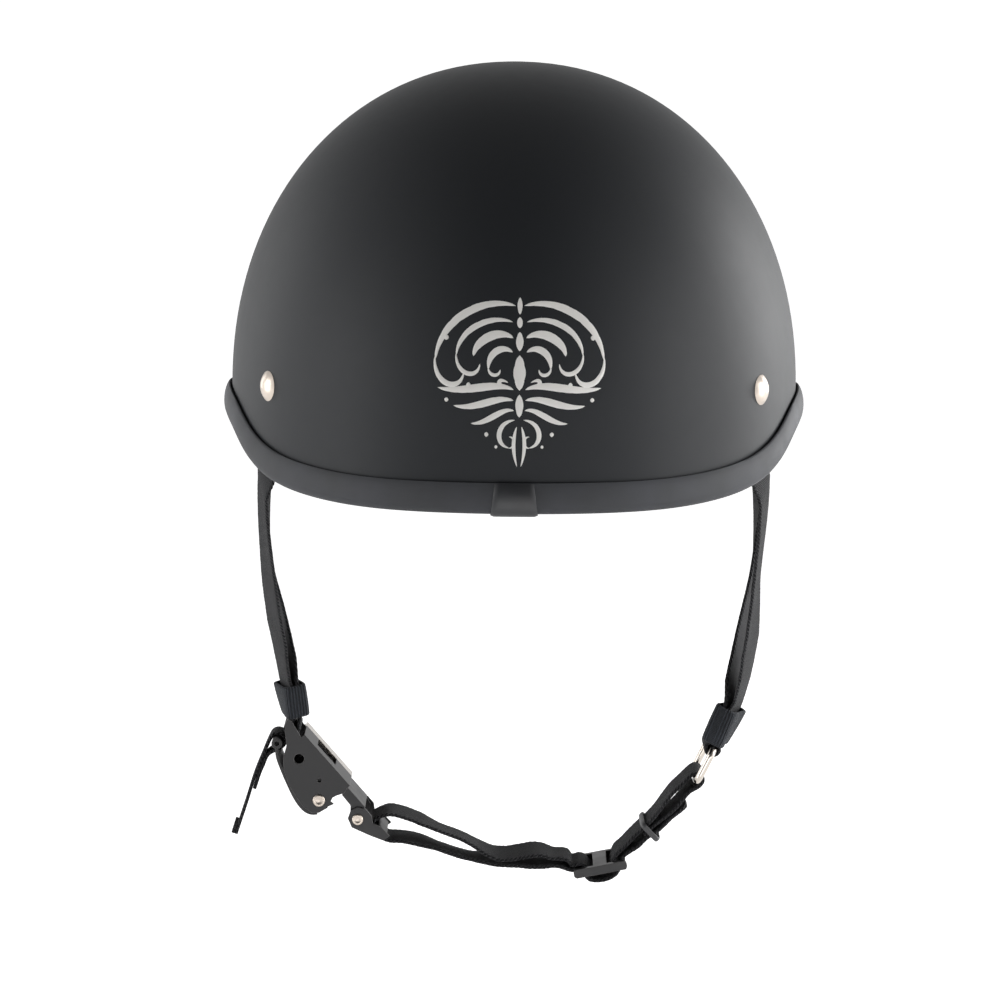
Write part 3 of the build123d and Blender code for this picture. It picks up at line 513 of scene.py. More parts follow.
def dome_grid(turn, inset, low):
    """Crown surface from a height above the edge line to the pole, rows by turn."""
    s = sizes()
    foot = rim_at(turn, inset) + low
    climb = np.linspace(0, 1, 6, endpoint=False)
    straight = foot[:, None] + (s.straight - foot)[:, None] * climb
    angle = np.linspace(0, pi / 2, 40)
    top = s.straight + (s.dome - inset) * np.sin(angle) ** (2 / DOME_POWER)
    z = np.concatenate([straight, np.tile(top, (len(turn), 1))], 1)
    return wall_point(turn[:, None] + 0 * z, inset, z)


def rear_surface(x, z, lift):
    """Point on the rear of the crown at a side and a height, lifted straight out by lift."""
    s = sizes()
    rise = np.clip((z - s.straight) / s.dome, 0, 1)
    share = dome_share(rise)
    y = s.forward - s.half_length * np.sqrt(np.clip(share ** 2 - (x / s.half_width) ** 2, 0, 1))
    point = np.stack([x, y, z], -1)
    normal = np.stack([x / s.half_width ** 2, (y - s.forward) / s.half_length ** 2,
                       share ** (2 - DOME_POWER) * rise ** (DOME_POWER - 1) / s.dome], -1)
    return point + unit(normal) * np.asarray(lift, float)[..., None]


# ---------------------------------------------------------------- pieces of the crown

# Height of the shell's own edge above the edge line, in mm
SHELL_EDGE = 3.2


def build_shell():
    """Crown wall: the outer surface, and the same one set in by the wall, joined along the edge line and
    closed at the pole."""
    s = sizes()
    turn = circle(200)
    outer = dome_grid(turn, 0.0, SHELL_EDGE)
    inner = dome_grid(turn, s.wall, SHELL_EDGE)
    points = np.concatenate([inner[:, ::-1], outer], 1)
    piece = solid_from("shell_crown", [(points, True, False, None)], shell_paint(colours()), angle=60)
    return place_piece(piece, "helmet", "shell_paint", "outer_shell")


# Section of the edge trim as (inset from the paint, height), in mm
TRIM_PROFILE = [(-0.15, 10.6), (-0.6, 11.2), (-0.95, 11.75), (-1.35, 11.75), (-1.75, 11.2), (-2.2, 10.4),
                (-2.65, 9.2), (-3.0, 7.8), (-3.22, 6.4), (-3.3, 5.0), (-3.25, 3.7), (-3.05, 2.5), (-2.7, 1.5),
                (-2.1, 0.65), (-1.3, 0.15), (-0.3, 0.0), (2.4, 0.0), (3.6, 0.15), (4.5, 0.55), (5.1, 1.3),
                (5.35, 2.3), (5.35, 10.4), (5.1, 11.2), (4.5, 11.7), (3.7, 11.8), (3.15, 11.4), (3.15, 2.9),
                (2.8, 2.6), (0.2, 2.6), (-0.15, 2.9)]


def build_trim():
    """Edge trim: a channel profile of (inset, height) carried round the edge line."""
    turn = circle(260)
    points = np.stack([wall_point(turn, d, rim_at(turn, d) + h) for d, h in TRIM_PROFILE], 1)
    piece = solid_from("edge_rubber", [(points, True, True, None)], trim_rubber(colours()), angle=50)
    return place_piece(piece, "helmet", "trim_rubber", "edge_trim")


# Sections of the joiner clip as (inset from the paint, height), in mm: its outside and its inside, each
# from the top inside the shell, round under the edge, to the top outside
CLIP_OUTER = [(5.6, 11.6), (6.35, 10.6), (6.35, 2.0), (5.9, 0.6), (4.9, -0.5), (3.6, -0.95), (-0.6, -1.0),
              (-2.2, -0.75), (-3.4, -0.1), (-4.0, 1.2), (-4.25, 3.0), (-4.3, 5.2), (-4.15, 7.0), (-3.9, 8.4),
              (-3.4, 9.9), (-2.8, 11.0), (-2.2, 11.75)]
CLIP_INNER = [(5.5, 11.5), (5.5, 10.6), (5.5, 2.2), (5.2, 1.1), (4.5, 0.3), (3.6, -0.1), (-0.6, -0.12),
              (-1.9, -0.05), (-2.8, 0.6), (-3.25, 1.8), (-3.4, 3.2), (-3.42, 5.1), (-3.3, 6.6), (-3.05, 8.0),
              (-2.6, 9.6), (-2.1, 10.7), (-1.6, 11.5)]
CLIP_HEIGHTS, CLIP_HALF_WIDTHS = [-1.0, 11.8], [9.0, 7.3]


def build_joiner():
    """Joiner clip: the trim's outline grown by its wall, with a half width that runs straight from foot
    to top, and its two side edges rounded over by a quarter of an ellipse."""
    outer, inner = np.array(CLIP_OUTER), np.array(CLIP_INNER)
    share = np.linspace(-1, 1, 15)
    ease = np.sqrt(1 - np.clip(np.abs(share) - 0.8, 0, 1) ** 2 / 0.2 ** 2 * 0.999)
    section = inner[None] + (outer - inner)[None] * (0.35 + 0.65 * ease[:, None, None])
    loop = np.concatenate([section, np.tile(inner[::-1], (len(share), 1, 1))], 1)
    x = share[:, None] * np.interp(loop[..., 1], CLIP_HEIGHTS, CLIP_HALF_WIDTHS)
    turn = pi - np.arcsin(x / (sizes().half_width - loop[..., 0]))
    points = wall_point(turn, loop[..., 0], rim_at(turn, loop[..., 0]) + loop[..., 1])
    count = len(outer)
    ends = [np.stack([points[row][:count], points[row][count:][::-1]]) for row in (0, -1)]
    caps = [(end, False, False, None) for end in ends]
    finish = plain_finish("moulded_plastic_clip", colours().joiner, 0.42, 0.5, 0.9, 0.015)
    piece = solid_from("rear_joiner", [(points, False, True, None)] + caps, finish, angle=45)
    return place_piece(piece, "helmet", "joiner_plastic", "trim_joiner")


# One half of the scrollwork, in mm from its middle: four Bezier points and the widest stroke
SCROLLS = [
    ([(1.6, 27.5), (13, 31), (30, 23), (31.5, 7.0)], 2.9),
    ([(31.6, 8.5), (32.5, -2.5), (22, -5), (20.8, 2.8)], 2.1),
    ([(2.6, 21.6), (11, 24.5), (23, 19), (23.6, 9.0)], 2.2),
    ([(23.7, 10.0), (24, 1.5), (15.4, 0), (14.8, 6.2)], 1.7),
    ([(2.4, 15.8), (8, 19.5), (16.5, 15), (17.2, 9.0)], 3.3),
    ([(2.6, 10.6), (6.5, 13.6), (12, 10.5), (11.6, 4.2)], 2.6),
    ([(11.7, 5.0), (11.6, 1.4), (7.4, 1.2), (7.2, 4.2)], 1.3),
    ([(2.2, -3.2), (10, 0.5), (20, -5.5), (30.5, -3.0)], 3.0),
    ([(2.2, -7.2), (9, -5), (16, -11.5), (24.5, -9.5)], 2.7),
    ([(2.0, -11.0), (7, -9.5), (11.5, -16.5), (18.0, -16.0)], 2.2),
    ([(1.6, -14.5), (8.5, -15), (9.5, -24), (3.6, -25.0)], 1.9),
    ([(4.0, -25.0), (1.2, -25.4), (1.2, -20.6), (3.8, -20.8)], 1.1),
    ([(0.9, -17.0), (2.2, -21), (2.6, -26), (0.7, -32.0)], 1.5),
    ([(4.2, -0.6), (8.6, 2.0), (8.6, -2.6), (4.6, -1.8)], 1.6),
]
# Drops and diamonds on the middle line: foot, top and widest stroke
DROPS = [(-3.5, 9.5, 4.6), (11.0, 18.0, 2.8), (19.4, 23.4, 2.2), (24.4, 30.5, 1.9), (-13.5, -5.0, 3.0)]
# Dots beside the scrolls: place and width
DOTS = [((27.4, 15.6), 1.9), ((19.0, -1.6), 1.6), ((27.2, -7.4), 1.5), ((12.2, -20.0), 1.6),
        ((8.6, -24.6), 1.2)]


ORNAMENT_X, ORNAMENT_Z = 1.6, 46.0


def build_ornament():
    """Painted scrollwork at the rear: tapered strokes whose width goes as the sine of their length,
    each a thin closed strip of paint on the crown's surface, mirrored about the middle line."""
    s = sizes()
    strokes = []
    for controls, width in SCROLLS:
        line = bezier(*np.array(controls, float), np.linspace(0, 1, 25)[:, None])
        strokes += [(line, width), (line * [-1, 1], width)]
    for foot, top, width in DROPS:
        line = np.stack([np.zeros(13), np.linspace(foot, top, 13)], 1)
        strokes.append((line, width))
    for (x, z), width in DOTS:
        height = z + width * 0.55 * np.linspace(-1, 1, 13)
        strokes += [(np.stack([np.full(13, x * hand), height], 1), width) for hand in (-1, 1)]
    across = np.array([-1, -0.7, 0, 0.7, 1, 0.7, 0, -0.7])
    lift = np.array([-0.03, 0.05, 0.06, 0.05, -0.03, -0.06, -0.06, -0.06])
    parts = []
    for line, width in strokes:
        way = unit(np.gradient(line, axis=0))
        side = np.stack([-way[:, 1], way[:, 0]], 1)
        share = np.linspace(0, 1, len(line))
        half = width / 2 * (0.12 + 0.88 * np.sin(pi * share) ** 0.75)
        half[[0, -1]] = 0.02
        flat = line[:, None] + side[:, None] * (half[:, None] * across[None])[..., None]
        x = ORNAMENT_X + flat[..., 0] * s.ornament
        z = ORNAMENT_Z + flat[..., 1] * s.ornament
        parts.append((rear_surface(x, z, lift[None] + 0 * x), False, True, None))
    finish = plain_finish("brushed_enamel_lining_paint", colours().line_paint, 0.45, 0.4, 1.0, 0.01,
                          tone=0.03)
    piece = solid_from("rear_scrollwork", parts, finish, angle=80)
    return place_piece(piece, "helmet", "shell_paint")


# ---------------------------------------------------------------- cushions

# Cushion of the head band, in mm: its heights above the edge line, how far in from the paint its back
# lies, its depth, and the share of that depth at its seam
PAD_LOW, PAD_HIGH, PAD_BACK, PAD_DEPTH, SEAM = 14.0, 52.0, 28.0, 6.6, 0.32


def cushion_section():
    """Loop round a cushion's section: (height from -1 to 1, thickness from 0 to 1), a superellipse that
    is flatter on its back."""
    angle = circle(40)
    s = np.sin(angle)
    thick = np.where(s > 0, SEAM + (1 - SEAM) * np.abs(s) ** 0.6, SEAM - SEAM * np.abs(s) ** 0.45)
    return squared(np.cos(angle), 0.45), thick


def build_pad(name, node, middle, half_angle):
    """Cushion of the head band: the section is carried along the turn, its height draws in between the
    corners, its crown rises in three lobes between sewn channels, and both ends close like a pillow."""
    share = np.linspace(-1, 1, 81)
    turn = radians(middle) + radians(half_angle - 1.0) * share
    height, thick = cushion_section()
    close = (1 - np.abs(share) ** 14) ** 0.5
    draw = 1 - 0.05 * (1 - share ** 2) - 0.10 * (1 - close)
    reach = (PAD_HIGH - PAD_LOW) / 2 - 0.6
    lobes = 0.86 + 0.14 * np.abs(np.cos(share * 1.5 * pi)) ** 0.5
    channel = 1 - 0.30 * np.exp(-(height / 0.045) ** 2)
    squeeze = np.maximum(close, 0.05)[:, None] ** 0.3
    up = (PAD_LOW + PAD_HIGH) / 2 + reach * draw[:, None] * height[None] * squeeze
    crown = np.where(thick > SEAM, (0.78 + 0.22 * (1 - height ** 2)) * channel, 1.0)
    inset = PAD_BACK + PAD_DEPTH * thick[None] * close[:, None] * crown[None] * lobes[:, None]
    turns = turn[:, None] + 0 * inset
    points = wall_point(turns, inset, rim_at(turns, inset) + up)
    caps = [end_cap(points[row]) for row in (0, -1)]
    piece = solid_from(name, [(points, False, True, None)] + caps, MATERIALS["fabric"], angle=80)
    return place_piece(piece, "helmet", "pad_fabric", node)


CROWN_PAD_RADIUS, CROWN_PAD_BACK = 43.2, 27.9


def build_crown_pad():
    """Round cushion at the top of the head: rings about the middle, thickness falling to its seam at the
    edge, with six sewn channels that run in from it."""
    s = sizes()
    rings = np.concatenate([np.linspace(0, 1, 22), np.linspace(1, 0, 22)[1:]])
    outside = np.concatenate([np.ones(22), np.zeros(21)])
    spin = circle(96)
    r, a = np.meshgrid(rings, spin, indexing="ij")
    out = np.repeat(outside[:, None], len(spin), 1)
    plump = (1 - r ** 6) ** 0.5
    channels = 1 - 0.35 * np.exp(-(np.sin(3 * a) / 0.12) ** 2) * np.clip(r * 1.6 - 0.25, 0, 1)
    x, y = CROWN_PAD_RADIUS * r * np.cos(a), CROWN_PAD_RADIUS * r * np.sin(a)
    seam = CROWN_PAD_BACK + 1.6
    back, front = CROWN_PAD_BACK + 1.6 * (1 - plump), seam + 4.9 * plump * channels
    inset = np.where(out > 0.5, front, back)
    rho = np.hypot(x / (s.half_width - inset), (y - s.forward) / (s.half_length - inset))
    z = s.straight + (s.dome - inset) * dome_share(np.clip(rho, 0, 1))
    points = np.stack([x, y, z], -1)
    piece = solid_from("crown_cushion", [(points, False, True, None)], MATERIALS["fabric"], angle=80)
    return place_piece(piece, "helmet", "pad_fabric", "crown_pad")


# ---------------------------------------------------------------- side straps

BUCKLE, PITCH = (-85.4, 0.0, -113.6), radians(48.7)
RING_TOP, RING_LOW = (82.4, -119.0), (76.0, -132.0)
KEEPERS = {-1: ((-89.9, 0.0, -100.6), 12.0), 1: ((88.0, 0.0, -108.6), -26.0)}
STRAP_GAP = 0.3
# Rivets: degrees from straight ahead or behind, heights in mm of the front and rear ones, and half the
# length of strap that lies flat under one
RIVET_TURN, RIVET_FRONT, RIVET_REAR, RIVET_RUN = 57, 44.0, 36.0, 9.0
# Heights in mm at which a strand leaves the shell, and of its next station below
SHELL_FOOT, FREE_TOP = -8.0, -50.0
# Reach and turn of each strand, in mm and degrees, by side and end: at the shell's foot, then downwards
HANG = {
    (-1, -1): ([99.2, 95.6, 94.0, 92.4], [13.0, 23.0, 26.0, 20.0]),
    (-1, 1): ([103.4, 102.6, 96.5, 92.4], [-14.0, 5.0, 13.0, 18.5]),
    (1, -1): ([99.2, 95.4, 95.2, 93.2], [14.0, 13.0, 23.0, 21.0]),
    (1, 1): ([102.8, 102.4, 96.6, 92.2], [-14.0, 5.0, 15.0, 20.5]),
}


def buckle_point(along, across):
    """Side-view place of a point given along and across the buckle."""
    return (BUCKLE[0] + along * cos(PITCH) - across * sin(PITCH),
            BUCKLE[2] - along * sin(PITCH) - across * cos(PITCH))


def turned(side, turn):
    """Outward face of a strap, turned from straight sideways towards the rear, in degrees."""
    return np.array([side * cos(radians(turn)), -sin(radians(turn)), 0.0])


def rivet_place(side, end):
    """Place and outward direction of a rivet on the crown."""
    s = sizes()
    z = RIVET_FRONT if end > 0 else RIVET_REAR
    rise = (z - s.straight) / s.dome
    share = dome_share(rise)
    x = side * s.half_width * share * sin(radians(RIVET_TURN))
    y = end * s.half_length * share * cos(radians(RIVET_TURN))
    steep = share ** (DOME_POWER - 2)
    out = unit([x / s.half_width ** 2 * steep, y / s.half_length ** 2 * steep,
                rise ** (DOME_POWER - 1) / s.dome])
    return np.array([x, y + s.forward, z]), out


def keeper_line(side):
    """Middle of a keeper and the direction down its strap."""
    middle, lean = KEEPERS[side]
    return np.array(middle), np.array([sin(radians(lean)), 0, -cos(radians(lean))])


def strand_stations(side, end):
    """Stations of one strand, from above its rivet to the foot of its keeper: place, face, way."""
    s = sizes()
    reaches, turns = HANG[side, end]
    place, out = rivet_place(side, end)
    sag = hypot(s.strap_width / 2, RIVET_RUN) ** 2 / (2 * s.half_width)
    anchor = place - out * (s.wall + sag + STRAP_GAP + s.strap_thickness / 2)
    middle, down = keeper_line(side)
    layer = (s.strap_thickness / 2 + STRAP_GAP) * (1 if end < 0 else -1)
    top, foot = middle - down * 5.8, middle + down * 5.8
    drop = anchor[2] - top[2]

    def level(z):
        share = hypot((z - top[2]) / drop, 0.06) - 0.06
        return anchor[1] * share / (hypot(1, 0.06) - 0.06)

    under = np.array([side * reaches[0], level(SHELL_FOOT), SHELL_FOOT])
    lead = unit(under - anchor)
    lead = unit(lead - out * lead.dot(out))
    stations = [(anchor + lead * RIVET_RUN * share, out, lead) for share in (-1.0, -0.35, 0.35, 1.0)]
    bow = (s.strap_width / 2) ** 2 / (2 * s.half_width)
    depth = s.wall + 0.15 + 2.2 + 4 * STRAP_GAP + s.strap_thickness / 2 + bow
    for share in (0.40, 0.70):
        z = anchor[2] + (SHELL_FOOT - anchor[2]) * share
        ahead = (level(z) - s.forward) / (s.half_length - depth)
        x = side * (s.half_width - depth) * (1 - ahead ** 2) ** 0.5
        face = unit([x / (s.half_width - depth) ** 2, ahead / (s.half_length - depth), 0])
        stations.append((np.array([x, level(z), z]), face, None))
    stations.append((under, turned(side, turns[0]), None))
    for share, reach, turn in zip((1.0, 0.52, 0.17), reaches[1:], turns[1:]):
        z = top[2] + (FREE_TOP - top[2]) * share
        face = turned(side, turn)
        stations.append((np.array([side * reach, level(z), z]) + face * layer * (1 + share), face, None))
    for centre, turn in ((top, 16), (middle, 13), (foot, 10)):
        face = turned(side, turn)
        stations.append((centre + face * layer, face, down))
    return stations


def eased(stations, steps):
    """Places, faces and ways between stations: each span is a cubic Bezier whose handles are a third of
    its chord, as the webbing's solid has it."""
    places, faces = [np.array([st[i] for st in stations]) for i in (0, 1)]
    last = len(places) - 1
    ways = np.array([unit(places[min(i + 1, last)] - places[max(i - 1, 0)]) if st[2] is None else st[2]
                     for i, st in enumerate(stations)])
    t = np.linspace(0, 1, steps, endpoint=False)[None, :, None]
    a, d = places[:-1, None], places[1:, None]
    reach = np.linalg.norm(d - a, axis=2, keepdims=True) / 3
    b, c = a + ways[:-1, None] * reach, d - ways[1:, None] * reach
    line = bezier(a, b, c, d, t)
    way = (b - a) * (1 - t) ** 2 + 2 * (c - b) * t * (1 - t) + (d - c) * t ** 2
    face = faces[:-1, None] * (1 - t) + faces[1:, None] * t
    line = np.vstack([line.reshape(-1, 3), places[-1:]])
    way = np.vstack([way.reshape(-1, 3), ways[-1:]])
    face = np.vstack([face.reshape(-1, 3), faces[-1:]])
    return line, face, unit(way)


def build_side_strap(side):
    """One webbing down from the rear rivet, round its bar and up to the front rivet."""
    s = sizes()
    bar, bar_radius = (buckle_point(-3.9, 2.0), 1.4) if side < 0 else (RING_TOP, 1.5)
    radius = bar_radius + 0.45 + s.strap_thickness / 2
    rear, front = strand_stations(side, -1), strand_stations(side, 1)

    def tangent(place, hand):
        return atan2(place[2] - bar[1], place[0] - bar[0]) - hand * np.arccos(
            radius / hypot(place[0] - bar[0], place[2] - bar[1]))

    start, stop = tangent(rear[-1][0], side), tangent(front[-1][0], -side) - side * 2 * pi
    for step in range(9):
        angle = start + (stop - start) * step / 8
        face, way = np.array([cos(angle), 0, sin(angle)]), np.array([sin(angle), 0, -cos(angle)]) * side
        rear.append((np.array([bar[0], 0, bar[1]]) + face * radius, face, way))
    for place, face, way in reversed(front):
        rear.append((place, -face, None if way is None else -way))
    line, face, way = eased(rear, 48)
    name = "side_webbing_left" if side < 0 else "side_webbing_right"
    piece = solid_from(name, strap_grid(line, face, way, s.strap_width, s.webbing_thickness, 0.15),
                       MATERIALS["webbing"], angle=60)
    return place_piece(piece, "helmet", "webbing", "left_side_strap" if side < 0 else "right_side_strap")


# Wall of a keeper round its edge as (height as a share, outwards in mm), and its inside half sizes
KEEPER_WALL = [(-1, 0.0), (-0.97, 0.8), (-0.9, 1.05), (-0.5, 1.18), (0, 1.22), (0.5, 1.18), (0.9, 1.05),
               (0.97, 0.8), (1, 0.0), (0.97, -0.05), (0.5, -0.1), (0, -0.1), (-0.5, -0.1), (-0.97, -0.05)]
KEEPER_HALF_WIDTH, KEEPER_HALF_DEPTH = 10.6, 3.9


def build_keeper(side):
    """Sleeve of narrow webbing round the two strands: a rounded rectangle loop whose wall bulges a
    little at mid height, wound with the strands as they turn. The right one reaches down to the ring and
    is drawn in along its middle."""
    rise, drop = (6.6, 0.5) if side < 0 else (8.0, 2.2)
    middle, down = keeper_line(side)
    angle = circle(72)
    box = squared(np.cos(angle), 0.35), squared(np.sin(angle), 0.35)
    rows = []
    for height, out in KEEPER_WALL:
        across = unit(np.cross(down, turned(side, 13 - 3 * height)))
        face = np.cross(across, down)
        dent = 0.0
        if side > 0 and out > 0.5:
            dent = sum(0.75 * np.exp(-((angle - place) / 0.10) ** 2) for place in (3 * pi / 2, pi / 2))
        half_x, half_y = KEEPER_HALF_WIDTH + out, KEEPER_HALF_DEPTH + out - dent
        ring = middle + down * (rise * height + drop)
        rows.append(ring + across * (half_x * box[0])[:, None] + face * (half_y * box[1])[:, None])
    points = np.stack(rows, 1)
    steps = np.hypot(np.diff(KEEPER_HALF_WIDTH * box[0]), np.diff(2.6 * box[1]))
    loop = np.concatenate([[0], np.cumsum(steps), [52.0]])
    uv = table(loop, np.array([h for h, _ in KEEPER_WALL] + [-1.0]) * 5.5)
    name = "keeper_sleeve_left" if side < 0 else "keeper_sleeve_right"
    piece = solid_from(name, [(points, True, True, uv)], MATERIALS["keeper"], angle=60)
    node = "left_strap_keeper" if side < 0 else "right_strap_keeper"
    return place_piece(piece, "helmet", "keeper_webbing", node)


# ---------------------------------------------------------------- chin strap, pull tab and band

# Side-view points of the chin strap. The runs are in shares of the drop from the opening, the slider's
# points in its own scale about its middle, and the bracket's points along and across the buckle in theirs
DROP, SLIDER_SCALE, BRACKET_SCALE = 170.0, 22.2, 40
SLIDER_MIDDLE, SLIDER_SLOPE, RING_WRAP = (37.0, -169.2), 11.5, 2.7
RETURN_RUN = [(0.322, -0.9135), (0.352, -0.886), (0.380, -0.864), (0.409, -0.834), (0.4325, -0.806)]
LONG_SIDE = [(0.418, -0.783), (0.392, -0.809), (0.345, -0.8725), (0.297, -0.920), (0.268, -0.951)]
UPPER_RUN = [(0.143, -0.982), (0.104, -0.974), (0.080, -0.966), (0.046, -0.966), (0.010, -0.973),
             (-0.030, -0.975), (-0.073, -0.957), (-0.124, -0.930), (-0.165, -0.915),
             (-0.224, -0.888), (-0.266, -0.873), (-0.297, -0.869)]
LOWER_RUN = [(-0.277, -0.934), (-0.224, -0.942), (-0.165, -0.961), (-0.107, -0.979),
             (-0.071, -0.985), (-0.030, -0.9885), (0.010, -0.9895), (0.046, -0.992),
             (0.085, -0.9935), (0.124, -0.995)]
FREE_SIDE = [(0.288, -0.956), (0.305, -0.945), (0.329, -0.922), (0.358, -0.901), (0.385, -0.874),
             (0.425, -0.844)]
SLIDER_INNER = [(0.315, 0.162), (0.252, 0.045), (0.195, -0.040), (0.070, -0.090), (-0.070, -0.090),
                (-0.189, -0.035), (-0.255, 0.072), (-0.375, 0.140), (-0.510, 0.148)]
SLIDER_OUTER = [(-0.510, 0.047), (-0.396, 0.032), (-0.320, -0.030), (-0.270, -0.145), (-0.110, -0.234),
                (0.068, -0.239), (0.243, -0.189), (0.342, -0.081), (0.385, 0.036), (0.477, 0.135)]
BRACKET_LOOP = [(1.183, -0.005), (1.180, 0.075), (1.228, 0.115), (1.285, 0.112), (1.360, 0.105),
                (1.432, 0.075)]


def chin_points():
    """Side-view points of the chin strap's middle line, from its sewn end to its free end, in mm."""
    slope = radians(SLIDER_SLOPE)

    def at_slider(share):
        a, b = share[0] * SLIDER_SCALE, share[1] * SLIDER_SCALE
        return (SLIDER_MIDDLE[0] + a * cos(slope) - b * sin(slope),
                SLIDER_MIDDLE[1] + a * sin(slope) + b * cos(slope))

    angles = [radians(-40 + 36 * k) for k in range(6)]
    ring = [(RING_LOW[0] + RING_WRAP * cos(a), RING_LOW[1] + RING_WRAP * sin(a)) for a in angles]
    runs = [[(a * DROP, b * DROP) for a, b in run]
            for run in (RETURN_RUN, LONG_SIDE, UPPER_RUN, LOWER_RUN, FREE_SIDE)]
    path = runs[0] + ring + runs[1] + [at_slider(p) for p in SLIDER_INNER] + runs[2]
    path += [buckle_point(a * BRACKET_SCALE, b * BRACKET_SCALE) for a, b in BRACKET_LOOP] + runs[3]
    return np.array(path + [at_slider(p) for p in SLIDER_OUTER] + runs[4])


def flat_path(points, count):
    """Smooth side-view line as places, faces and ways in space."""
    line = smooth_line(points, count)
    way = unit(np.gradient(line, axis=0))
    zero = np.zeros(len(line))
    places = np.stack([line[:, 0], zero, line[:, 1]], 1)
    ways = np.stack([way[:, 0], zero, way[:, 1]], 1)
    faces = np.stack([-way[:, 1], zero, way[:, 0]], 1)
    return places, faces, ways


# Twist of the chin strap: places along X in mm and degrees there; and where its turn in the bracket ends
ROLL_PLACES, ROLL_DEGREES = [-37.0, -30.0, -16.0, -4.0, 8.0, 18.0], [0, 4.5, 4.0, -3.5, -4.0, 0]
BRACKET_EDGE, CHIN_WOBBLE, CHIN_TIP = -38.0, 0.22, 6.0


def build_chin_strap():
    """The long webbing: round the ring, through the slide adjuster, round the bracket's bar and back. The
    turn round the bar is a piece of its own, and its two ends lie inside
    the ends of the rest, which stretches out after the tongue."""
    s = sizes()
    places, faces, ways = flat_path(chin_points(), 1500)
    roll = np.interp(places[:, 0], ROLL_PLACES, np.radians(ROLL_DEGREES))
    faces = np.stack([faces[:, 0], faces[:, 2] * np.sin(roll), faces[:, 2] * np.cos(roll)], 1)
    along = lengths(places)
    turn = np.flatnonzero(places[:, 0] < BRACKET_EDGE)
    first, last = turn[0], turn[-1]

    def run(low, high, thickness, tip=0.0):
        span = slice(low, high)
        width = s.strap_width - (s.webbing_thickness - thickness)
        return strap_grid(places[span], faces[span], ways[span], width, thickness, CHIN_WOBBLE,
                          along[low], tip)

    strands = run(0, first + 4, s.webbing_thickness)
    strands += run(last - 3, len(places), s.webbing_thickness, CHIN_TIP)
    long_run = solid_from("chin_webbing", strands, MATERIALS["webbing"], angle=60)
    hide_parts("chin_strap")
    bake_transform(long_run)
    bar_turn = solid_from("bracket_webbing", run(first - 1, last + 2, s.webbing_thickness - 0.04),
                          MATERIALS["webbing"], angle=60)
    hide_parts("chin_strap")
    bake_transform(bar_turn)


# Side-view points of the pull tab in mm, and its turn round the lever's eye in degrees
TAB_UP = [(-112.7, -156.9), (-111.2, -152.2), (-107.9, -142.0), (-104.6, -131.6), (-101.6, -124.2)]
TAB_DOWN = [(-97.0, -122.1), (-99.2, -123.4), (-100.5, -125.4), (-101.5, -128.0), (-102.4, -130.0),
            (-104.0, -134.6), (-105.1, -138.0)]
HEM_LINE = [(-113.9, -156.5), (-113.3, -154.6), (-112.7, -152.7)]
TAB_TURN, TAB_RADIUS, TAB_THICKNESS = (165, 125, 85, 45, 5, -35, -66), 3.1, 1.45


def build_tab():
    """Pull tab: one narrow webbing, from the hem at its tail up, round the lever's eye in an arc of a
    circle, and back to where it is sewn down on itself."""
    eye, grids = np.array(buckle_point(-3.5, 10.5)), []
    loop = [tuple(eye + TAB_RADIUS * np.array([cos(radians(a)), sin(radians(a))])) for a in TAB_TURN]
    for line, count, width in ((TAB_UP + loop + TAB_DOWN, 320, 12.0), (HEM_LINE, 24, 12.2)):
        places, faces, ways = flat_path(np.array(line), count)
        grids += strap_grid(places, faces, ways, width, TAB_THICKNESS, 0.15)
    piece = solid_from("pull_tab_webbing", grids, MATERIALS["webbing"], angle=60)
    return place_piece(piece, "lever", "keeper_webbing", "pull_tab")


BAND_MIDDLE, BAND_PITCH, BAND_HALF_WIDTH, BAND_HALF_DEPTH = [57.9, 0, -154.6], 44, 10.6, 4.2


def build_band():
    """Elastic band round the free end: a rounded rectangle loop with a half-round wall."""
    pitch = radians(BAND_PITCH)
    down, across = np.array([-cos(pitch), 0, -sin(pitch)]), np.array([0, 1.0, 0])
    face = np.cross(down, across)
    centre = np.array(BAND_MIDDLE) - face * 0.9
    angle = circle(64)
    box = squared(np.cos(angle), 0.3), squared(np.sin(angle), 0.3)
    rows = []
    for a in circle(12):
        out, rise = 0.5 + 0.5 * cos(a), 1.15 * sin(a)
        rows.append(centre + down * rise + across * ((BAND_HALF_WIDTH + out) * box[0])[:, None]
                    + face * ((BAND_HALF_DEPTH + out) * box[1])[:, None])
    finish = plain_finish("moulded_rubber_band", "#3c3c3e", 0.5, 0.5, 0.6, 0.02)
    piece = solid_from("free_end_rubber", [(np.stack(rows, 1), True, True, None)], finish, angle=60)
    return place_piece(piece, "helmet", "band_rubber", "free_end_band")


# ---------------------------------------------------------------- pins with peened heads

# Head of a peened pin as (share of its radius, height in mm), from its middle outwards
PIN_HEAD = [(0.0, 0.25), (0.22, 0.26), (0.42, 0.34), (0.55, 0.52), (0.68, 0.62), (0.84, 0.60), (0.95, 0.42),
            (1.0, 0.18), (1.0, 0.02)]


def build_pin(name, node, body, place, half_width, head, shank):
    """Pin across the buckle: a profile of (radius, height) turned about the pin, with a stepped rim and
    a dimple punched into each head."""
    right = [(r * head, half_width + h) for r, h in PIN_HEAD] + [(shank, half_width)]
    profile = np.array(right + [(r, -h) for r, h in right[::-1]])
    spin = circle(40)
    x = place[0] + profile[:, :1] * np.cos(spin)
    z = place[1] + profile[:, :1] * np.sin(spin)
    points = np.stack([x, profile[:, 1:] + 0 * x, z], -1)
    piece = solid_from(name, [(points, False, True, None)], MATERIALS["nickel"], angle=50)
    return place_piece(piece, body, "rivet_nickel", node)


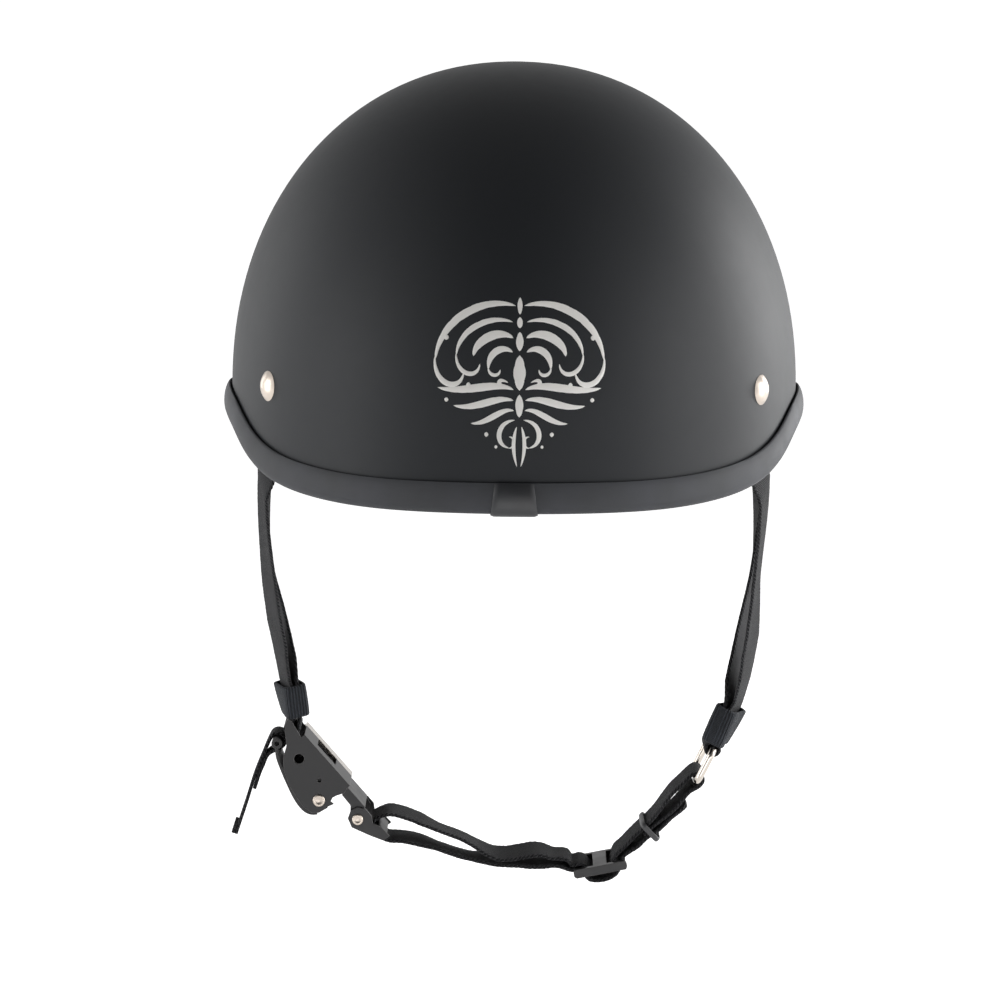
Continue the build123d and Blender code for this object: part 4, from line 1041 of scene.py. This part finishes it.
def build_pins():
    """The lever's pin and the bracket's pin."""
    build_pin("lever_pin_turned", "lever_pin", "helmet", buckle_point(25.3, 12.8), 13.05, 2.55, 2.1)
    build_pin("bracket_pin_turned", "bracket_pin", "tongue", buckle_point(41.7, 6.1), 12.75, 2.3, 1.9)


# ---------------------------------------------------------------- solids that keep their CAD form

def dress_solids():
    """Gives each solid that keeps its form its finish."""
    c = colours()
    nickel = MATERIALS["nickel"]
    chrome = plain_finish("bright_chrome_plating", c.chrome, 0.14, 0.5, 0.6, 0.003, metallic=1.0,
                          tone=0.03, bevel_mm=0.2)
    # Black steel of the lever, tongue and bracket, and of the slider, with painted highlights on its sharp
    # edges
    black = plain_finish("black_coated_stamped_steel", c.black_steel, 0.42, 0.4, 0.5, 0.02, tone=0.1,
                         bevel_mm=0.4, highlit_edges=True)
    slider = plain_finish("black_coated_bent_steel", shade(c.black_steel, 1.1), 0.38, 0.4, 0.5, 0.015,
                          tone=0.1, bevel_mm=0.5, highlit_edges=True)
    wire = plain_finish("drawn_spring_wire", "#8e8e90", 0.32, 0.5, 0.4, 0.01, metallic=1.0)
    washer = plain_finish("plain_rolled_steel", "#a2a2a4", 0.35, 0.5, 0.5, 0.01, metallic=1.0)
    finishes = {
        "impact_liner": foam_finish(), "strap_rivets": nickel, "rivet_washers": washer,
        "buckle_housing": housing_finish(c), "release_lever": black, "lever_spring": wire,
        "buckle_tongue": black, "strap_bracket": black, "strap_ring": chrome, "strap_slider": slider,
    }
    for node, finish in finishes.items():
        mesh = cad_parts[node].data
        mesh.materials.clear()
        mesh.materials.append(finish)


# ---------------------------------------------------------------- stage

CAMERA_RISE, CAMERA_FAR, CAMERA_ROLL, CAMERA_FOCAL = radians(8.5), 1.6, radians(0.45), 3930.2
LOOK_AT, SENSOR, PICTURE = (-0.0053, 0.0, -0.0183), 36.0, 1000
FLOOR_HALF, FLOOR_Z, FLOOR_GLOW = 40.0, -0.42, 0.92
WHITE = (1, 1, 1, 1)
# Lamps: name, place, target, width, height in metres, and watts
SOFTBOXES = [
    ("softbox_left", (-1.7, -0.35, 0.10), (0, 0, 0), 0.9, 1.3, 17),
    ("softbox_right", (1.7, -0.25, 0.15), (0, 0, 0), 0.9, 1.3, 24),
    ("rim_left", (-1.4, 1.1, 0.25), (0, 0, 0.05), 0.5, 0.9, 4),
    ("rim_right", (1.4, 1.1, 0.25), (0, 0, 0.05), 0.5, 0.9, 18),
    ("softbox_low", (0.2, -1.3, -0.35), (0, 0, -0.05), 1.4, 0.4, 5),
    ("softbox_top", (0.0, 0.3, 1.9), (0, 0, 0.0), 1.2, 1.2, 1),
]


def build_stage():
    """Pale floor well below the helmet, softboxes round it, and the camera behind the helmet. The surround is
    white: it lights metal and paint from the sides and from ahead, and little from the camera's side."""
    scene = bpy.context.scene
    scene.view_settings.view_transform = "Standard"
    world = bpy.data.worlds.new("white_surround")
    scene.world = world
    world.use_nodes = True
    tree = world.node_tree
    tree.nodes.clear()
    path = add(tree, "LightPath").outputs
    way = add(tree, "SeparateXYZ", {0: add(tree, "NewGeometry").outputs["Incoming"]}).outputs
    ahead = combine(tree, "MULTIPLY_ADD", way["Y"], -0.7, 0.0)
    both = combine(tree, "MAXIMUM", combine(tree, "ABSOLUTE", way["X"]), ahead)
    around = ranged(tree, both, (0.25, 0.8), (0.14, 1.0), interpolation_type="SMOOTHSTEP")
    seen = combine(tree, "MAXIMUM", path["Is Camera Ray"], path["Is Transmission Ray"])
    soft = combine(tree, "MULTIPLY_ADD", path["Is Glossy Ray"], 0.6, 0.4)
    strength = combine(tree, "MAXIMUM", seen, combine(tree, "MULTIPLY", around, soft))
    light = add(tree, "Background", {"Strength": strength, "Color": WHITE})
    add(tree, "OutputWorld", {"Surface": light.outputs[0]})

    material = bpy.data.materials.new("pale_floor")
    material.use_nodes = True
    tree = material.node_tree
    tree.nodes.clear()
    path = add(tree, "LightPath").outputs
    seen = combine(tree, "MAXIMUM", path["Is Camera Ray"], path["Is Glossy Ray"])
    glow = add(tree, "Emission", {"Strength": combine(tree, "MULTIPLY", seen, FLOOR_GLOW), "Color": WHITE})
    matte = add(tree, "BsdfDiffuse", {"Color": (0.8, 0.8, 0.8, 1)})
    both = add(tree, "AddShader", {0: matte.outputs[0], 1: glow.outputs[0]})
    add(tree, "OutputMaterial", {"Surface": both.outputs[0]})
    mesh = bpy.data.meshes.new("floor")
    corners = [(x * FLOOR_HALF, y * FLOOR_HALF, FLOOR_Z) for x, y in ((-1, -1), (1, -1), (1, 1), (-1, 1))]
    mesh.from_pydata(corners, [], [(0, 1, 2, 3)])
    mesh.materials.append(material)
    floor = bpy.data.objects.new("floor", mesh)
    scene.collection.objects.link(floor)

    for name, place, target, width, height, watts in SOFTBOXES:
        lamp = bpy.data.lights.new(name, "AREA")
        lamp.shape, lamp.size, lamp.size_y, lamp.energy = "RECTANGLE", width, height, watts
        thing = bpy.data.objects.new(name, lamp)
        thing.location = place
        thing.rotation_euler = (Vector(target) - Vector(place)).to_track_quat("-Z", "Y").to_euler()
        scene.collection.objects.link(thing)

    camera = bpy.data.cameras.new("camera_behind")
    camera.sensor_width = SENSOR
    camera.lens = CAMERA_FOCAL / PICTURE * SENSOR
    camera.clip_start, camera.clip_end = 0.05, 200.0
    eye = bpy.data.objects.new("camera_behind", camera)
    look = Vector((0, cos(CAMERA_RISE), -sin(CAMERA_RISE)))
    eye.location = Vector(LOOK_AT) - look * CAMERA_FAR
    turn = look.to_track_quat("-Z", "Y").to_matrix().to_4x4()
    eye.rotation_euler = (turn @ Matrix.Rotation(CAMERA_ROLL, 4, "Z")).to_euler()
    scene.collection.objects.link(eye)
    scene.camera = eye


# ---------------------------------------------------------------- operators and panel

class HELMET_OT_shell(bpy.types.Operator):
    """Makes the painted crown shell"""
    bl_idname, bl_label = "helmet.shell", "Shell"

    def execute(self, context):
        build_shell()
        return {"FINISHED"}


class HELMET_OT_edge(bpy.types.Operator):
    """Makes the rubber edge trim and its joiner"""
    bl_idname, bl_label = "helmet.edge", "Edge trim"

    def execute(self, context):
        build_trim()
        build_joiner()
        return {"FINISHED"}


class HELMET_OT_ornament(bpy.types.Operator):
    """Paints the scrollwork on the rear of the shell"""
    bl_idname, bl_label = "helmet.ornament", "Scrollwork"

    def execute(self, context):
        build_ornament()
        return {"FINISHED"}


class HELMET_OT_cushions(bpy.types.Operator):
    """Makes the five cushions inside the liner"""
    bl_idname, bl_label = "helmet.cushions", "Cushions"

    def execute(self, context):
        MATERIALS["fabric"] = pad_fabric(colours())
        build_pad("brow_cushion", "brow_pad", 0, 46)
        build_pad("nape_cushion", "nape_pad", 180, 46)
        build_pad("left_cushion", "left_side_pad", -90, 30)
        build_pad("right_cushion", "right_side_pad", 90, 30)
        build_crown_pad()
        return {"FINISHED"}


class HELMET_OT_side_straps(bpy.types.Operator):
    """Makes the two side straps and their keepers"""
    bl_idname, bl_label = "helmet.side_straps", "Side straps"

    def execute(self, context):
        MATERIALS["webbing"] = webbing_finish("woven_polyester_webbing", colours().webbing, 1.5)
        MATERIALS["keeper"] = webbing_finish("ribbed_polyester_tape", colours().keeper, 1.0, ribs=True)
        for side in (-1, 1):
            build_side_strap(side)
            build_keeper(side)
        return {"FINISHED"}


class HELMET_OT_chin_strap(bpy.types.Operator):
    """Makes the chin strap, the pull tab and the elastic band"""
    bl_idname, bl_label = "helmet.chin_strap", "Chin strap"

    def execute(self, context):
        build_chin_strap()
        build_tab()
        build_band()
        return {"FINISHED"}


class HELMET_OT_hardware(bpy.types.Operator):
    """Finishes the liner, rivets, buckle, ring and slide adjuster, and makes the pins"""
    bl_idname, bl_label = "helmet.hardware", "Hardware"

    def execute(self, context):
        MATERIALS["nickel"] = plain_finish("peened_nickel_plating", colours().nickel, 0.36, 0.5, 0.5, 0.006,
                                           metallic=1.0, tone=0.05)
        build_pins()
        dress_solids()
        return {"FINISHED"}


class HELMET_OT_stage(bpy.types.Operator):
    """Sets the floor, the lights and the camera"""
    bl_idname, bl_label = "helmet.stage", "Stage"

    def execute(self, context):
        build_stage()
        return {"FINISHED"}


OPERATORS = (HELMET_OT_stage, HELMET_OT_shell, HELMET_OT_edge, HELMET_OT_ornament, HELMET_OT_cushions,
             HELMET_OT_side_straps, HELMET_OT_chin_strap, HELMET_OT_hardware)


class HELMET_PT_panel(bpy.types.Panel):
    """Lists the helmet's steps and settings"""
    bl_idname, bl_label = "HELMET_PT_panel", "Helmet"
    bl_space_type, bl_region_type, bl_category = "VIEW_3D", "UI", "Helmet"

    def draw(self, context):
        for operator in OPERATORS:
            self.layout.operator(operator.bl_idname)
        for group in (context.scene.helmet_sizes, context.scene.helmet_colours):
            for key in group.__annotations__:
                self.layout.prop(group, key)


CLASSES = (HelmetSizes, HelmetColours) + OPERATORS + (HELMET_PT_panel,)


def register():
    """Registers the classes and adds their settings to the scene."""
    for cls in CLASSES:
        bpy.utils.register_class(cls)
    bpy.types.Scene.helmet_sizes = bpy.props.PointerProperty(type=HelmetSizes)
    bpy.types.Scene.helmet_colours = bpy.props.PointerProperty(type=HelmetColours)


def unregister():
    """Takes the settings and the classes out again."""
    del bpy.types.Scene.helmet_colours
    del bpy.types.Scene.helmet_sizes
    for cls in reversed(CLASSES):
        bpy.utils.unregister_class(cls)


def main():
    """Makes the stage and every piece."""
    register()
    for operator in OPERATORS:
        getattr(bpy.ops.helmet, operator.bl_idname.split(".")[1])()
    bpy.context.view_layer.update()


if __name__ == "__main__":
    main()
